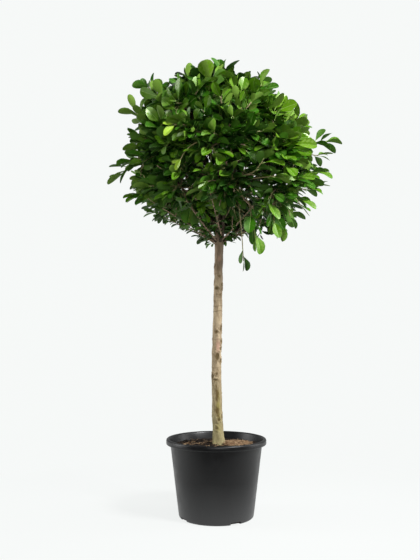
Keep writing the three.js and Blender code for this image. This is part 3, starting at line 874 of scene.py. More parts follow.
def make_bark(name, low_tone, high_tone, head_shadow_tone, with_marks):
    material, tree, shader = new_finish(name, 0.78, 0.3)
    streak = add_noise(tree, 62, 6, (1, 1, 0.32), 0.68)
    blotch = add_noise(tree, 14, 4, (1, 1, 0.6))
    ragged = add_math(tree, "MULTIPLY_ADD", blotch, BARK_WANDER, add_coordinate(tree, "Z"))
    climb = add_range(tree, ragged, *BARK_HEIGHTS, 0, 1)
    inner_tone = tuple(INNER_LIGHTER * value for value in head_shadow_tone)
    # Painted shadow of the head: the tone darkens just under it and is lighter again inside it.
    ground = add_ramp(tree, climb, [(0.0, low_tone), (0.38, high_tone), (0.70, high_tone),
                                    (0.85, head_shadow_tone), (0.97, inner_tone)])
    fleck = add_range(tree, streak, *BARK_FLECK_EDGES, 0, 1)
    shade = add_mix(tree, fleck, *BARK_FLECKS)
    colour = add_mix(tree, BARK_FLECK_SHARE, ground, shade, "MULTIPLY")
    if with_marks:
        # Painted shade: high up, the trunk's right side is darker.
        side_shade = add_range(tree, add_coordinate(tree, "X"), *SIDE_SHADE_EDGES, 0, 1)
        high = add_range(tree, ragged, *SIDE_SHADE_HEIGHTS, *SIDE_SHADE_SHARES)
        colour = add_mix(tree, add_math(tree, "MULTIPLY", side_shade, high), colour, SIDE_SHADE_TONE)
        for mark_name, (tone, _) in MARKS.items():
            mark = tree.nodes.new("ShaderNodeAttribute")
            mark.attribute_name = mark_name
            dip = add_range(tree, mark.outputs["Fac"], *MARK_EDGES, 0, MARK_MOST)
            colour = add_mix(tree, dip, colour, tone)
    tree.links.new(colour, shader.inputs["Base Color"])
    add_bump(tree, shader, streak, 0.55, 0.0015)
    return material


# The third tone is the painted shadow of the head on the trunk.
bark = make_bark("trunk_bark", (0.33, 0.30, 0.15), (0.39, 0.31, 0.205), (0.22, 0.16, 0.11), True)
trunk.data.materials.append(bark)
settle(trunk, "bark", "trunk")

# %% [markdown]
# The head follows one rule, the same as the frame's. Its centre and its outline are named
# sizes. Seventeen masses stand round the centre in rings, each owns the space nearest to it
# outside an open well in the middle, and each hangs on a bough of its own. A repeatable
# chance number replaces dice, so the plant grows the same way every time.

# %% The head's sizes
HEAD_CENTRE = np.array([0.015, 0.0, 1.450])
HEAD_REACH = 0.380
# How far the head reaches in the front view, every 15 degrees from the right upwards and round.
HEAD_OUTLINE = np.array([395, 362, 325, 330, 342, 322, 354, 370, 378, 418, 408, 345,
                         352, 392, 384, 360, 340, 345, 345, 360, 392, 408, 400, 418]) / 1000
# The underside is a wide cone that opens upwards from the trunk, bare in its inner part.
UNDERSIDE_APEX = 1.055
UNDERSIDE_RISE = math.radians(30)
BARE_LAYER = 0.060
BARE_REACH = 0.22
WELL_RADIUS = 0.052
WELL_TOP = 1.560
RINGS = [
    # name, count, tilt, turn, out, leaves the trunk at, climbs at
    ("crest", 1, 90, 0, 0.235, TRUNK_TOP + 0.0003, 90),
    ("upper", 4, 38, 52, 0.235, 1.160, 74),
    ("middle", 6, 0, 30, 0.250, 1.128, 58),
    ("lower", 6, -34, 40, 0.262, 1.092, 20),
]
FIRST_SEED = 81
CORE_SHARE = 0.5
CORE_LUMP = 0.16
CORE_INSET = 0.014
CORE_STEPS = (0.020, 0.004)
SPACE_MARGIN = 0.001
GOLDEN_ANGLE = math.pi * (3 - math.sqrt(5))


def chance(a, b, c):
    wave = np.sin(a * 12.9898 + b * 78.233 + c * 37.719) * 43758.5453
    return wave - np.floor(wave)


def unit(vectors):
    return vectors / np.linalg.norm(vectors, axis=-1, keepdims=True)


def across_of(ahead):
    """A direction square to each one given, and level unless that one is upright."""
    guide = np.where(np.abs(ahead[..., 2:]) > 0.97, (1.0, 0, 0), (0, 0, 1.0))
    return unit(np.cross(ahead, guide))


def head_reach(directions):
    """How far the head reaches from its centre in each direction."""
    count = len(HEAD_OUTLINE)
    x, z = directions[..., 0], directions[..., 2]
    around = np.arctan2(z, x) * count / math.tau
    low = np.floor(around).astype(int)
    share = around - low
    smooth = share * share * (3 - 2 * share)
    here, after = HEAD_OUTLINE[low % count], HEAD_OUTLINE[(low + 1) % count]
    flat = x * x + z * z
    return HEAD_REACH + (here + (after - here) * smooth - HEAD_REACH) * flat


def head_share(points):
    offset = points - HEAD_CENTRE
    return np.linalg.norm(offset, axis=-1) / head_reach(unit(offset))


def aside_of(points):
    """How far each point stands from the head's upright axis."""
    return np.hypot(points[..., 0] - HEAD_CENTRE[0], points[..., 1] - HEAD_CENTRE[1])


def over_underside(points):
    """How far each point stands above the cone of the head's underside."""
    return points[..., 2] - UNDERSIDE_APEX - aside_of(points) * math.tan(UNDERSIDE_RISE)


def aim_at(around, climb):
    """A direction by its turn round the trunk and its climb over the level."""
    return np.array([math.cos(climb) * math.cos(around), math.cos(climb) * math.sin(around),
                     math.sin(climb)])


# %% Lay out the masses
masses = []
for ring_name, count, tilt, turn, out, leaves_at, climb in RINGS:
    for i in range(count):
        around = math.radians(turn + i * 360 / count)
        outward = aim_at(around, math.radians(tilt))
        centre = HEAD_CENTRE + outward * out * head_reach(outward) / HEAD_REACH
        masses.append(SimpleNamespace(
            name=f"{ring_name}_{i + 1}", ring=ring_name, seed=FIRST_SEED + len(masses),
            turn=around, centre=centre, leaves_at=leaves_at, climb=math.radians(climb), twigs=[],
        ))
centres = np.array([mass.centre for mass in masses])
print(len(masses), "masses")


def room_at(number, points):
    """Distance from each point to the edge of one mass's space, negative outside it."""
    square = ((points[:, None] - centres) ** 2).sum(-1)
    apart = np.linalg.norm(centres - centres[number], axis=1)
    apart[number] = 1
    room = (square - square[:, number:number + 1]) / (2 * apart)
    room[:, number] = np.inf
    room = room.min(axis=1)
    aside = aside_of(points) - WELL_RADIUS
    return np.where(points[:, 2] < WELL_TOP, np.minimum(room, aside), room)


def core_reach(number, direction):
    """How far a mass's dense middle reaches in a direction."""
    mass = masses[number]
    steps = np.arange(CORE_STEPS[0], 2 * HEAD_REACH, CORE_STEPS[1])
    points = mass.centre + direction * steps[:, None]
    out = (room_at(number, points) < SPACE_MARGIN) | (head_share(points) > 1)
    first = int(np.argmax(out))
    reach = steps[max(first - 1, 0)]
    x, y, z = direction
    lump = math.sin(x * 7 + mass.turn * 3) * math.cos(y * 6 + z * 5)
    return min(reach - CORE_INSET, reach * CORE_SHARE * (1 + CORE_LUMP * lump))


# %% [markdown]
# A bough leaves the trunk at its ring's own climb and bends over to its mass, then runs on
# inside as the mass's stem. It is a curve with a round bevel whose radius shrinks from point
# to point, and a collar where it leaves the trunk. The curves are converted to one mesh, and
# two Displace modifiers with cloud textures roughen the bark.

# %% Bough lines
BOUGH_BEND = 0.45
BOUGH_POINTS = 22
STEM_ENTRY = 0.022
STEM_OVERRUN = 1.05
STEM_POINTS = 7


def bezier(foot, bend, tip, points):
    share = np.linspace(0, 1, points)[:, None]
    return (1 - share) ** 2 * foot + 2 * share * (1 - share) * bend + share**2 * tip


for number, mass in enumerate(masses):
    foot = np.array([HEAD_CENTRE[0], HEAD_CENTRE[1], mass.leaves_at])
    inward = unit(foot - mass.centre)
    tip = mass.centre + inward * (core_reach(number, inward) + STEM_ENTRY)
    lead = aim_at(mass.turn, mass.climb)
    bend = foot + lead * np.linalg.norm(tip - foot) * BOUGH_BEND
    mass.bough = bezier(foot, bend, tip, BOUGH_POINTS)
    mass.stem_foot = tip
    mass.stem_tip = tip + (mass.centre - tip) * STEM_OVERRUN
spans = [np.linalg.norm(mass.bough[-1] - mass.bough[0]) for mass in masses]
print("the boughs span", round(min(spans), 3), "to", round(max(spans), 3), "m")

# %% Boughs
BOUGH_FOOT = 0.0075
BOUGH_TIP = 0.0045
STEM_TIP = 0.0035
COLLAR = 0.0025
COLLAR_PLACE = 0.1
COLLAR_HALF = 0.09
LIMB_SWAY = 0.0022
BARK_CLOUDS = ((0.03, 0.0022), (0.006, 0.0009))
limb_curve = bpy.data.curves.new("limbs", "CURVE")
limb_curve.dimensions = "3D"
limb_curve.bevel_depth = 1.0
limb_curve.bevel_resolution = 3
limb_curve.use_fill_caps = True
for mass in masses:
    stem_share = np.linspace(0, 1, STEM_POINTS)[1:, None]
    stem = mass.stem_foot + (mass.stem_tip - mass.stem_foot) * stem_share
    line = np.concatenate([mass.bough, stem])
    share = np.linspace(0, 1, BOUGH_POINTS)
    radii = BOUGH_FOOT + (BOUGH_TIP - BOUGH_FOOT) * np.sqrt(share)
    radii += COLLAR * np.exp(-((share - COLLAR_PLACE) / COLLAR_HALF) ** 2)
    radii = np.concatenate([radii, BOUGH_TIP + (STEM_TIP - BOUGH_TIP) * stem_share[:, 0]])
    sway = np.sin(np.linspace(0, 9, len(line)) + mass.seed)[:, None] * LIMB_SWAY
    line = line + sway * np.array([math.sin(mass.turn), -math.cos(mass.turn), 0.4])
    spline = limb_curve.splines.new("POLY")
    spline.points.add(len(line) - 1)
    spline.points.foreach_set("co", np.column_stack([line, np.ones(len(line))]).ravel())
    spline.points.foreach_set("radius", radii)
boughs = bpy.data.objects.new("bark_boughs", limb_curve)
bpy.context.scene.collection.objects.link(boughs)
pick(boughs)
bpy.ops.object.convert(target="MESH")
boughs = bpy.context.object
subdivide(boughs, 1)
for size, strength in BARK_CLOUDS:
    clouds = bpy.data.textures.new("bark_clouds", "CLOUDS")
    clouds.noise_scale = size
    rough = boughs.modifiers.new("rough", "DISPLACE")
    rough.texture = clouds
    rough.strength = strength
    bpy.ops.object.modifier_apply(modifier="rough")
bpy.ops.object.shade_smooth()
# Painted shade: the boughs' bark is made dark, as the head's shade over them.
shaded_limb_tones = ((0.12, 0.088, 0.055), (0.075, 0.054, 0.034), (0.045, 0.032, 0.02))
shaded_limb_bark = make_bark("bough_bark", *shaded_limb_tones, False)
boughs.data.materials.clear()
boughs.data.materials.append(shaded_limb_bark)
settle(boughs, "bark", *["bough_" + mass.name for mass in masses])

# %% [markdown]
# Twig tips are dealt out evenly over the face of the head by the golden angle, as seeds are
# on a sunflower, and each belongs to the mass whose space it lies in. First come the frame's
# own twigs, one from each mass's stem to each of its tips. Some tips lie deep and some near
# the face, and each is the middle of a clump, so the clipped ball still looks ragged.

# %% Where limbs are
UP = np.array([0, 0, 1.0])
TRUNK_STEPS = 60
trunk_z = np.linspace(line_z[0], TRUNK_TOP, TRUNK_STEPS)
trunk_x, trunk_y = smooth_station(line_x, trunk_z), smooth_station(line_y, trunk_z)
limb_places = np.concatenate(
    [np.column_stack([trunk_x, trunk_y, trunk_z])] + [mass.bough for mass in masses]
)
limb_radii = np.concatenate([
    np.interp(trunk_z, line_z, line_r), np.full(len(masses) * BOUGH_POINTS, BOUGH_FOOT)
])


def deal_out(count, depth):
    """Places spread evenly over the head's face, each at its depth under it."""
    i = np.arange(count)
    height = 1 - (2 * i + 1) / count
    level = np.sqrt(1 - height**2)
    direction = np.stack([level * np.cos(i * GOLDEN_ANGLE), level * np.sin(i * GOLDEN_ANGLE),
                          height], axis=1)
    return HEAD_CENTRE + direction * (head_reach(direction) - depth)[:, None]


def clear_of_limbs(points, margin):
    apart = np.linalg.norm(points[:, None] - limb_places, axis=2)
    return (apart > limb_radii + margin).all(axis=1)


def owners(points):
    return np.argmin(((points[:, None] - centres) ** 2).sum(-1), axis=1)


def owner(point):
    return int(owners(point[None])[0])


def room_of(number, point):
    """The room that one point has in a mass's space."""
    return room_at(number, point[None])[0]


# %% Main twigs
TWIG_COUNT = 140
TWIG_DEPTH = 0.014
TWIG_DEPTH_SPREAD = 0.046
TWIG_FROM = (0.75, 0.24)
TWIG_SWAY = 0.012
TWIG_POINTS = 9
TIP_ROOM = 0.003
PATH_ROOM = 0.004
LIMB_MARGIN = 0.003
HEAD_OVERSHOOT = 1.1
OUTER_SHARES = np.linspace(3 / 8, 1, 6)[:, None]
clump_luck = chance(np.arange(TWIG_COUNT), 5, 0)
main_tips = deal_out(TWIG_COUNT, TWIG_DEPTH + TWIG_DEPTH_SPREAD * clump_luck)
main_owner = owners(main_tips)
main_sprays = []
for number, mass in enumerate(masses):
    own = [i for i in np.flatnonzero(main_owner == number)
           if room_of(number, main_tips[i]) > TIP_ROOM]
    for order, i in enumerate(own):
        tip = main_tips[i]
        share = TWIG_FROM[0] + TWIG_FROM[1] * chance(mass.seed, order, 6)
        foot = mass.stem_foot + (mass.stem_tip - mass.stem_foot) * share
        outer = foot + (tip - foot) * OUTER_SHARES
        inside = (room_at(number, outer) > PATH_ROOM) & (head_share(outer) < HEAD_OVERSHOOT)
        if (inside & clear_of_limbs(outer, LIMB_MARGIN)).all():
            sway = TWIG_SWAY * np.array([math.sin(order * 2.4), math.cos(order * 1.7), 0.8])
            line = bezier(foot, (foot + tip) / 2 + sway, tip, TWIG_POINTS)
            mass.twigs.append(line)
            main_sprays.append((number, line, i))
print(len(main_sprays), "main twigs")

# %% [markdown]
# A clipped ball grows out between two clippings, so long shoots with a few leaves stand clear
# of its face. Chance would put them anywhere, and it is these that give the head its outline,
# so each tip is named. Each shoot leaves its mass's stem, climbs and bends over to its tip.
# More of them stand where gaps would show the background through the head.

# %% Long shoots
SHADE, DEEP, MID, FRESH, LIME = range(5)
SHOOT_TIPS = [
    # tip, leaves, their size and green: round the front view from the right upwards and round
    ((0.432, -0.110, 1.482), 7, 1.05, MID), ((0.420, -0.020, 1.450), 4, 1.00, MID),
    ((0.296, -0.060, 1.617), 2, 0.70, MID), ((0.163, -0.060, 1.730), 4, 0.95, MID),
    ((0.000, -0.040, 1.780), 4, 0.95, DEEP), ((-0.115, -0.050, 1.755), 3, 0.90, MID),
    ((-0.275, -0.080, 1.712), 4, 0.90, DEEP), ((-0.325, -0.070, 1.612), 7, 1.00, FRESH),
    ((-0.319, -0.080, 1.511), 2, 0.70, DEEP), ((-0.330, -0.030, 1.417), 6, 1.05, MID),
    ((-0.368, -0.090, 1.356), 8, 1.15, MID), ((-0.315, -0.060, 1.274), 6, 1.00, MID),
    ((0.399, -0.060, 1.373), 4, 0.95, MID), ((0.381, -0.040, 1.307), 4, 0.95, MID),
    ((0.337, -0.090, 1.228), 4, 0.95, MID), ((0.288, -0.130, 1.181), 4, 0.95, DEEP),
    ((0.223, -0.150, 1.138), 5, 1.00, MID), ((0.148, -0.185, 1.085), 7, 1.10, MID),
    ((0.103, -0.165, 1.000), 3, 0.92, SHADE),
    # those that close gaps low on the front and on both sides
    ((0.216, -0.280, 1.304), 5, 0.85, MID), ((0.132, -0.290, 1.246), 5, 0.80, DEEP),
    ((-0.250, 0.010, 1.385), 8, 0.95, DEEP), ((-0.240, 0.130, 1.345), 8, 0.95, DEEP),
    ((-0.210, 0.000, 1.305), 8, 0.90, DEEP), ((0.270, 0.010, 1.395), 8, 0.95, DEEP),
    ((0.250, -0.130, 1.365), 8, 0.95, DEEP), ((0.240, 0.040, 1.345), 8, 0.90, DEEP),
    # young lime ones on the front and the back
    ((-0.156, -0.330, 1.484), 2, 0.74, LIME), ((-0.132, -0.340, 1.350), 2, 0.74, LIME),
    ((0.230, 0.270, 1.510), 2, 0.74, LIME), ((-0.190, 0.300, 1.390), 2, 0.74, LIME),
    # and those that close gaps on the back
    ((0.070, 0.270, 1.360), 8, 0.95, DEEP), ((-0.170, 0.240, 1.345), 8, 0.95, DEEP),
    ((-0.080, 0.280, 1.370), 8, 0.95, DEEP), ((0.020, 0.250, 1.320), 8, 0.95, DEEP),
]
SHOOT_FROM = 0.9
SHOOT_REACH = 0.75
shoots = []
for tip, leaves, size, green in SHOOT_TIPS:
    tip = np.array(tip)
    number = owner(tip)
    mass = masses[number]
    foot = mass.stem_foot + (mass.stem_tip - mass.stem_foot) * SHOOT_FROM
    bend = foot + (tip - foot) * SHOOT_REACH
    bend[2] = max(foot[2], tip[2])
    if room_of(number, bend) < PATH_ROOM:
        bend = (foot + tip) / 2
    shoots.append((number, bezier(foot, bend, tip, TWIG_POINTS), leaves, size, green))
print(len(shoots), "long shoots")

# %% [markdown]
# Finer twigs follow by the same rule with many more tips. Each takes its clump's depth with
# a little luck of its own. Of all the places along the twigs of its mass, it leaves the one
# that suits its length best and turns it least, and bends to its tip.

# %% Fine twigs
FINE_COUNT = 960
FINE_DEPTH = 0.030
CLUMP_DEPTH = 0.078
STRAY_DEPTH = 0.034
CLUMP_WEIGHT = 0.6
STRAY_WEIGHT = 0.4
FINE_LENGTH = 0.085
FINE_CLEARANCE = 0.012
FINE_POINTS = 5
FINE_BEND = 0.45
FINE_LIFT = 0.006
TURN_COST = 0.04
FIRST_JOINT = 2
stray_luck = chance(np.arange(FINE_COUNT), 7, 3)
face_points = deal_out(FINE_COUNT, FINE_DEPTH)
fine_clump = np.argmin(((face_points[:, None] - main_tips) ** 2).sum(-1), axis=1)
fine_share = CLUMP_WEIGHT * clump_luck[fine_clump] + STRAY_WEIGHT * stray_luck
fine_tips = deal_out(
    FINE_COUNT, FINE_DEPTH + CLUMP_DEPTH * clump_luck[fine_clump] + STRAY_DEPTH * stray_luck
)
fine_owner = owners(fine_tips)
fine_sprays = []
for number, mass in enumerate(masses):
    joints = np.concatenate([line[FIRST_JOINT:-1] for line in mass.twigs])
    leads = unit(np.concatenate([np.diff(line[FIRST_JOINT:], axis=0) for line in mass.twigs]))
    for i in np.flatnonzero(fine_owner == number):
        tip = fine_tips[i]
        if room_of(number, tip) < PATH_ROOM or not clear_of_limbs(tip[None], FINE_CLEARANCE)[0]:
            continue
        gap = tip - joints
        length = np.linalg.norm(gap, axis=1)
        turn = 1 - (gap * leads).sum(1) / length
        best = int(np.argmin(np.abs(length - FINE_LENGTH) + TURN_COST * turn))
        bend = joints[best] + leads[best] * length[best] * FINE_BEND
        bend[2] += FINE_LIFT
        fine_sprays.append((number, bezier(joints[best], bend, tip, FINE_POINTS), i))
print(len(fine_sprays), "fine twigs")

# %% [markdown]
# The underside shows more limbs than the frame carries: from each low bough two thin side
# limbs run up the cone to the rim. Short spurs with a few small dark leaves stand all along
# the boughs, none hanging under the low ones, and a few stand on the trunk just below them.

# %% Side limbs
SIDE_LIMBS = [
    # leaves its bough at, turns aside by, reaches out to, stands over the cone by
    (0.10, math.radians(21), 0.27, 0.012), (0.34, math.radians(-18), 0.31, 0.020),
]
SIDE_SAG = 0.012
side_limbs = []
side_lines = {mass.name: [] for mass in masses}
for mass in masses:
    if mass.ring != "lower":
        continue
    for share, aside, reach, over in SIDE_LIMBS:
        foot = mass.bough[round(share * (BOUGH_POINTS - 1))]
        around = mass.turn + aside
        tip = np.array([HEAD_CENTRE[0] + reach * math.cos(around), reach * math.sin(around),
                        UNDERSIDE_APEX + reach * math.tan(UNDERSIDE_RISE) + over])
        line = bezier(foot, (foot + tip) / 2 - SIDE_SAG * UP, tip, TWIG_POINTS)
        side_limbs.append((owner(tip), line))
        side_lines[mass.name].append(line)
print(len(side_limbs), "side limbs")

# %% Spurs
SPUR_STEP = {"lower": 0.034, "middle": 0.022, "upper": 0.026, "crest": 0.034}
SPUR_LENGTH = (0.016, 0.042)
SPUR_LEAN = 0.5
SPUR_BEND = 0.15
SPUR_POINTS = 4
SPUR_SEEDS = 7000
TRUNK_SPUR_SEEDS = 6900
LOW_SPUR = 0.35
LOW_SIDE = -0.25
TRUNK_SPURS = [
    # foot in the trunk, tip
    ((0.002, -0.012, 1.080), (-0.018, -0.034, 1.092)), ((0.000, -0.006, 1.086), (-0.034, -0.022, 1.104)),
    ((-0.002, -0.004, 1.094), (-0.050, -0.020, 1.112)), ((0.026, -0.010, 1.088), (0.044, -0.024, 1.102)),
]


def spur_on(limb, along, seed, turn, is_low):
    """One spur, from a place along a limb that is given in points and parts of points."""
    low = int(along)
    foot = limb[low] + (limb[low + 1] - limb[low]) * (along - low)
    ahead = unit(limb[low + 1] - limb[low])
    across = across_of(ahead)
    side = across * math.cos(turn) + np.cross(ahead, across) * math.sin(turn)
    if is_low and side[2] < LOW_SIDE:
        side = -side
    out = SPUR_LENGTH[0] + (SPUR_LENGTH[1] - SPUR_LENGTH[0]) * chance(seed, 16, 0)
    out *= LOW_SPUR if is_low else 1
    tip = foot + out * unit(side + SPUR_LEAN * ahead)
    return bezier(foot, (foot + tip) / 2 + SPUR_BEND * out * ahead, tip, SPUR_POINTS)


spurs = []
for number, mass in enumerate(masses):
    for order, limb in enumerate([mass.bough] + side_lines[mass.name]):
        length = np.linalg.norm(np.diff(limb, axis=0), axis=1).sum()
        for k in range(1, int(length / SPUR_STEP[mass.ring])):
            seed = SPUR_SEEDS + 300 * number + 100 * order + k
            along = k * SPUR_STEP[mass.ring] / length * (len(limb) - 1)
            turn = k * GOLDEN_ANGLE + math.tau * chance(seed, 15, 0)
            line = spur_on(limb, along, seed, turn, mass.ring == "lower")
            spurs.append((number, line, seed, mass.ring))
for order, ends in enumerate(TRUNK_SPURS):
    foot, tip = np.array(ends)
    line = foot + (tip - foot) * np.linspace(0, 1, SPUR_POINTS)[:, None]
    spurs.append((owner(tip), line, TRUNK_SPUR_SEEDS + order, "lower"))
print(len(spurs), "spurs")

# %% [markdown]
# All these lines now get their wood. A twig is a thin tapering strand, four-sided where it is
# finest, because nobody sees more sides at that size, and each kind is one joined mesh. Older
# wood is grey-brown, and the fine twigs and the long shoots are still olive.

# %% Twig meshes
twig_bark = flecked_finish(
    "twig_bark", (0.7, 0.3), (120, 4), [(0.35, (0.13, 0.09, 0.055)), (0.7, (0.46, 0.33, 0.22))],
    (0.4, 0.0008),
)
young_bark = flecked_finish(
    "young_bark", (0.55, 0.4), (90, 3), [(0.35, (0.13, 0.115, 0.045)), (0.7, (0.34, 0.30, 0.13))],
    (0.3, 0.0005),
)
TWIG_KINDS = [
    # name, sprays or limbs, radius at the foot, at the tip, sides, finish
    ("main_twigs", main_sprays, 0.0034, 0.0016, 6, twig_bark),
    ("fine_twigs", fine_sprays, 0.0024, 0.0014, 4, young_bark),
    ("long_shoots", shoots, 0.0026, 0.0018, 6, young_bark),
    ("side_limbs", side_limbs, 0.0034, 0.0014, 6, twig_bark),
    ("spurs", spurs, 0.0024, 0.0014, 4, twig_bark),
]
for name, grown, foot_radius, tip_radius, sides, finish in TWIG_KINDS:
    lines = np.array([entry[1] for entry in grown])
    taper = np.linspace(foot_radius, tip_radius, lines.shape[1])
    corners, faces = strands(lines, np.tile(taper, (len(lines), 1)), sides)
    settle(mesh_from_arrays(name, corners, faces, [finish]), "bark")

# %% [markdown]
# A leaf is blunt and widest beyond its middle, with a wedge at its foot, a short stalk and a
# pale rib. It is one small closed mesh of a few dozen faces: a top side in two halves that
# fold up along the rib, an underside in two halves, and a three-sided stalk. Rim and rib are
# sharp edges, so each half catches the light on its own. Four shapes differ in how much they
# fold, curl and twist.

# %% The outline of one leaf
LEAF_ROWS = 6
LEAF_COLUMNS = 6
LEAF_WIDEST = 0.60
LEAF_STALK = 0.14
LEAF_THICKNESS = 0.011
LEAST_HALF = 0.02
RIB_HALF = 0.030
RIB_TAPER = 0.6
STALK_RING = np.array([(0, 0.016), (-0.015, -0.010), (0.015, -0.010)])
STALK_STEPS = (-0.02, 0.08, 0.20)


def half_width(share):
    wedge = np.sin(math.pi / 2 * np.minimum(share / LEAF_WIDEST, 1)) ** 1.15
    round_end = np.clip((share - LEAF_WIDEST) / (1 - LEAF_WIDEST), 0, 1) / 1.02
    return np.maximum(0.5 * wedge * np.sqrt(1 - round_end**2), LEAST_HALF)


def leaf_shape(fold, curl, twist):
    """Corners as shares of the leaf's width, length and length."""
    share = np.sin(np.linspace(0, 1, LEAF_ROWS + 1) * math.pi / 2)
    half = half_width(share)
    rib = RIB_HALF * (1 - RIB_TAPER * share)
    x = np.stack([-half, -half * 0.5, -rib * 0.5, rib * 0.5, half * 0.5, half], axis=1)
    y = np.repeat((LEAF_STALK + (1 - LEAF_STALK) * share)[:, None], LEAF_COLUMNS, axis=1)
    z = fold * np.abs(x) ** 1.2 * 0.5 - curl * (share**2)[:, None]
    under = np.stack([np.zeros(LEAF_ROWS + 1), y[:, 0], -curl * share**2 - LEAF_THICKNESS], axis=1)
    blade = np.concatenate([np.stack([x, y, z], axis=2).reshape(-1, 3), under])
    turn = twist * blade[:, 1]
    blade[:, [0, 2]] = np.stack([
        blade[:, 0] * np.cos(turn) - blade[:, 2] * np.sin(turn),
        blade[:, 0] * np.sin(turn) + blade[:, 2] * np.cos(turn),
    ], axis=1)
    stalk = [(2 * px, py, pz - 0.004) for py in STALK_STEPS for px, pz in STALK_RING]
    return np.concatenate([blade, np.array(stalk)])


LEAF_SHAPES = np.array([leaf_shape(0.30, 0.06, 0.1), leaf_shape(0.50, 0.14, -0.25),
                        leaf_shape(0.15, -0.05, 0.2), leaf_shape(0.38, 0.22, 0.40)])
LEAF_CORNERS = LEAF_SHAPES.shape[1]
print(len(LEAF_SHAPES), "leaf shapes of", LEAF_CORNERS, "corners")

# %% The faces of one leaf
TOP, UNDER, RIB = 0, 1, 2
RIB_COLUMN = 2


def leaf_faces():
    n = LEAF_COLUMNS
    under = n * (LEAF_ROWS + 1)
    faces, kinds = [], []
    for i in range(LEAF_ROWS):
        here, after = i * n, (i + 1) * n
        for c in range(n - 1):
            faces.append((here + c, here + c + 1, after + c + 1, after + c))
            kinds.append(RIB if c == RIB_COLUMN else TOP)
        faces.append((here, after, under + i + 1, under + i))
        faces.append((under + i, under + i + 1, after + n - 1, here + n - 1))
        kinds += [UNDER, UNDER]
    last = LEAF_ROWS * n
    faces.append((*range(n - 1, -1, -1), under))
    faces.append((*range(last, last + n), under + LEAF_ROWS))
    kinds += [UNDER, UNDER]
    stalk = under + LEAF_ROWS + 1
    for s in (stalk, stalk + 3):
        for k in range(3):
            after = (k + 1) % 3
            faces.append((s + k, s + after, s + 3 + after, s + 3 + k))
    faces += [(stalk + 2, stalk + 1, stalk), (stalk + 6, stalk + 7, stalk + 8)]
    kinds += [RIB] * (len(faces) - len(kinds))
    return faces, np.array(kinds)


LEAF_FACES, LEAF_KINDS = leaf_faces()
sharp_pairs = np.zeros((LEAF_CORNERS, LEAF_CORNERS), bool)
for i in range(LEAF_ROWS):
    for c in (0, RIB_COLUMN, RIB_COLUMN + 1, LEAF_COLUMNS - 1):
        sharp_pairs[i * LEAF_COLUMNS + c, (i + 1) * LEAF_COLUMNS + c] = True
for face in LEAF_FACES:
    if len(face) > 4:
        for a, b in zip(face, face[1:] + face[:1]):
            sharp_pairs[a, b] = True
sharp_pairs |= sharp_pairs.T
print("a leaf has", len(LEAF_FACES), "faces")

# %% [markdown]
# The greens are dealt out by spray. Deep in the head they are painted nearly black-green, as
# painted shade, and on its face they are mid green. Sprays that are lucky, strong or a little
# above the head's middle are fresh, partly as painted light, and those at its very top are
# painted darker, as painted shade. A few young shoots are lime. Each green has a glossy top
# and a paler, duller underside, and a faint mottle in both.

# %% Leaf finishes
GREENS = {
    # name: top, underside
    "shade": ((0.006, 0.047, 0.001), (0.022, 0.070, 0.008)),
    "deep": ((0.026, 0.118, 0.002), (0.058, 0.150, 0.015)),
    "mid": ((0.070, 0.188, 0.003), (0.112, 0.212, 0.024)),
    "fresh": ((0.110, 0.243, 0.006), (0.165, 0.288, 0.038)),
    "lime": ((0.320, 0.520, 0.035), (0.330, 0.500, 0.070)),
}
RIB_GREEN = (0.34, 0.46, 0.15)
LEAF_MOTTLE = (0.72, 1.25)
LEAF_ROUGHNESS = 0.42
UNDERSIDE_ROUGHNESS = 0.6
RIB_ROUGHNESS = 0.5
LEAF_SHEEN_TINT = (0.88, 1.0, 0.56)
LEAF_COAT = 0.36
LEAF_COAT_ROUGHNESS = 0.30


def make_leaf_finish(name, tone, roughness, coat):
    material, tree, shader = new_finish(name, roughness, 0.35)
    shader.inputs["Specular Tint"].default_value = (*LEAF_SHEEN_TINT, 1)
    shader.inputs["Coat Weight"].default_value = coat
    shader.inputs["Coat Roughness"].default_value = LEAF_COAT_ROUGHNESS
    low, high = (tuple(value * share for value in tone) for share in LEAF_MOTTLE)
    mottle = add_mix(tree, add_noise(tree, 55, 3), low, high)
    tree.links.new(mottle, shader.inputs["Base Color"])
    add_bump(tree, shader, add_noise(tree, 190, 2), 0.25, 0.0008)
    return material


leaf_finishes = []
for name, (top, underside) in GREENS.items():
    leaf_finishes.append(make_leaf_finish("leaf_top_" + name, top, LEAF_ROUGHNESS, LEAF_COAT))
    leaf_finishes.append(make_leaf_finish("leaf_under_" + name, underside, UNDERSIDE_ROUGHNESS, 0.0))
RIB_SLOT = len(leaf_finishes)
leaf_finishes.append(make_leaf_finish("leaf_rib", RIB_GREEN, RIB_ROUGHNESS, 0.0))
print(len(leaf_finishes), "leaf finishes")

# %% [markdown]
# Leaves stand round the end of each twig, turned on by the golden angle, the youngest near
# the tip. High on the head they spread in rosettes that face outward, and low on it they are
# slimmer, lie flat to the sky and reach outward, as leaves do that seek light from above.

# %% Places for leaves
LEAF_SHARE = (0.38, 0.58)
LOW_SLIM = 0.20
LOW_FROM = 0.62
LOW_RATE = 1.5
LEAF_LEAN = 22
LEAF_LEAN_STEP = 9
LEAF_LEAN_MOST = 62
LEAF_LEAN_SPREAD = 26
LEAF_LIFT = 0.9
LEAF_STRAY = 1.8
TIP_GAP = 0.001
YOUNGEST = 0.72
AGE_SPREAD = (0.80, 0.32)


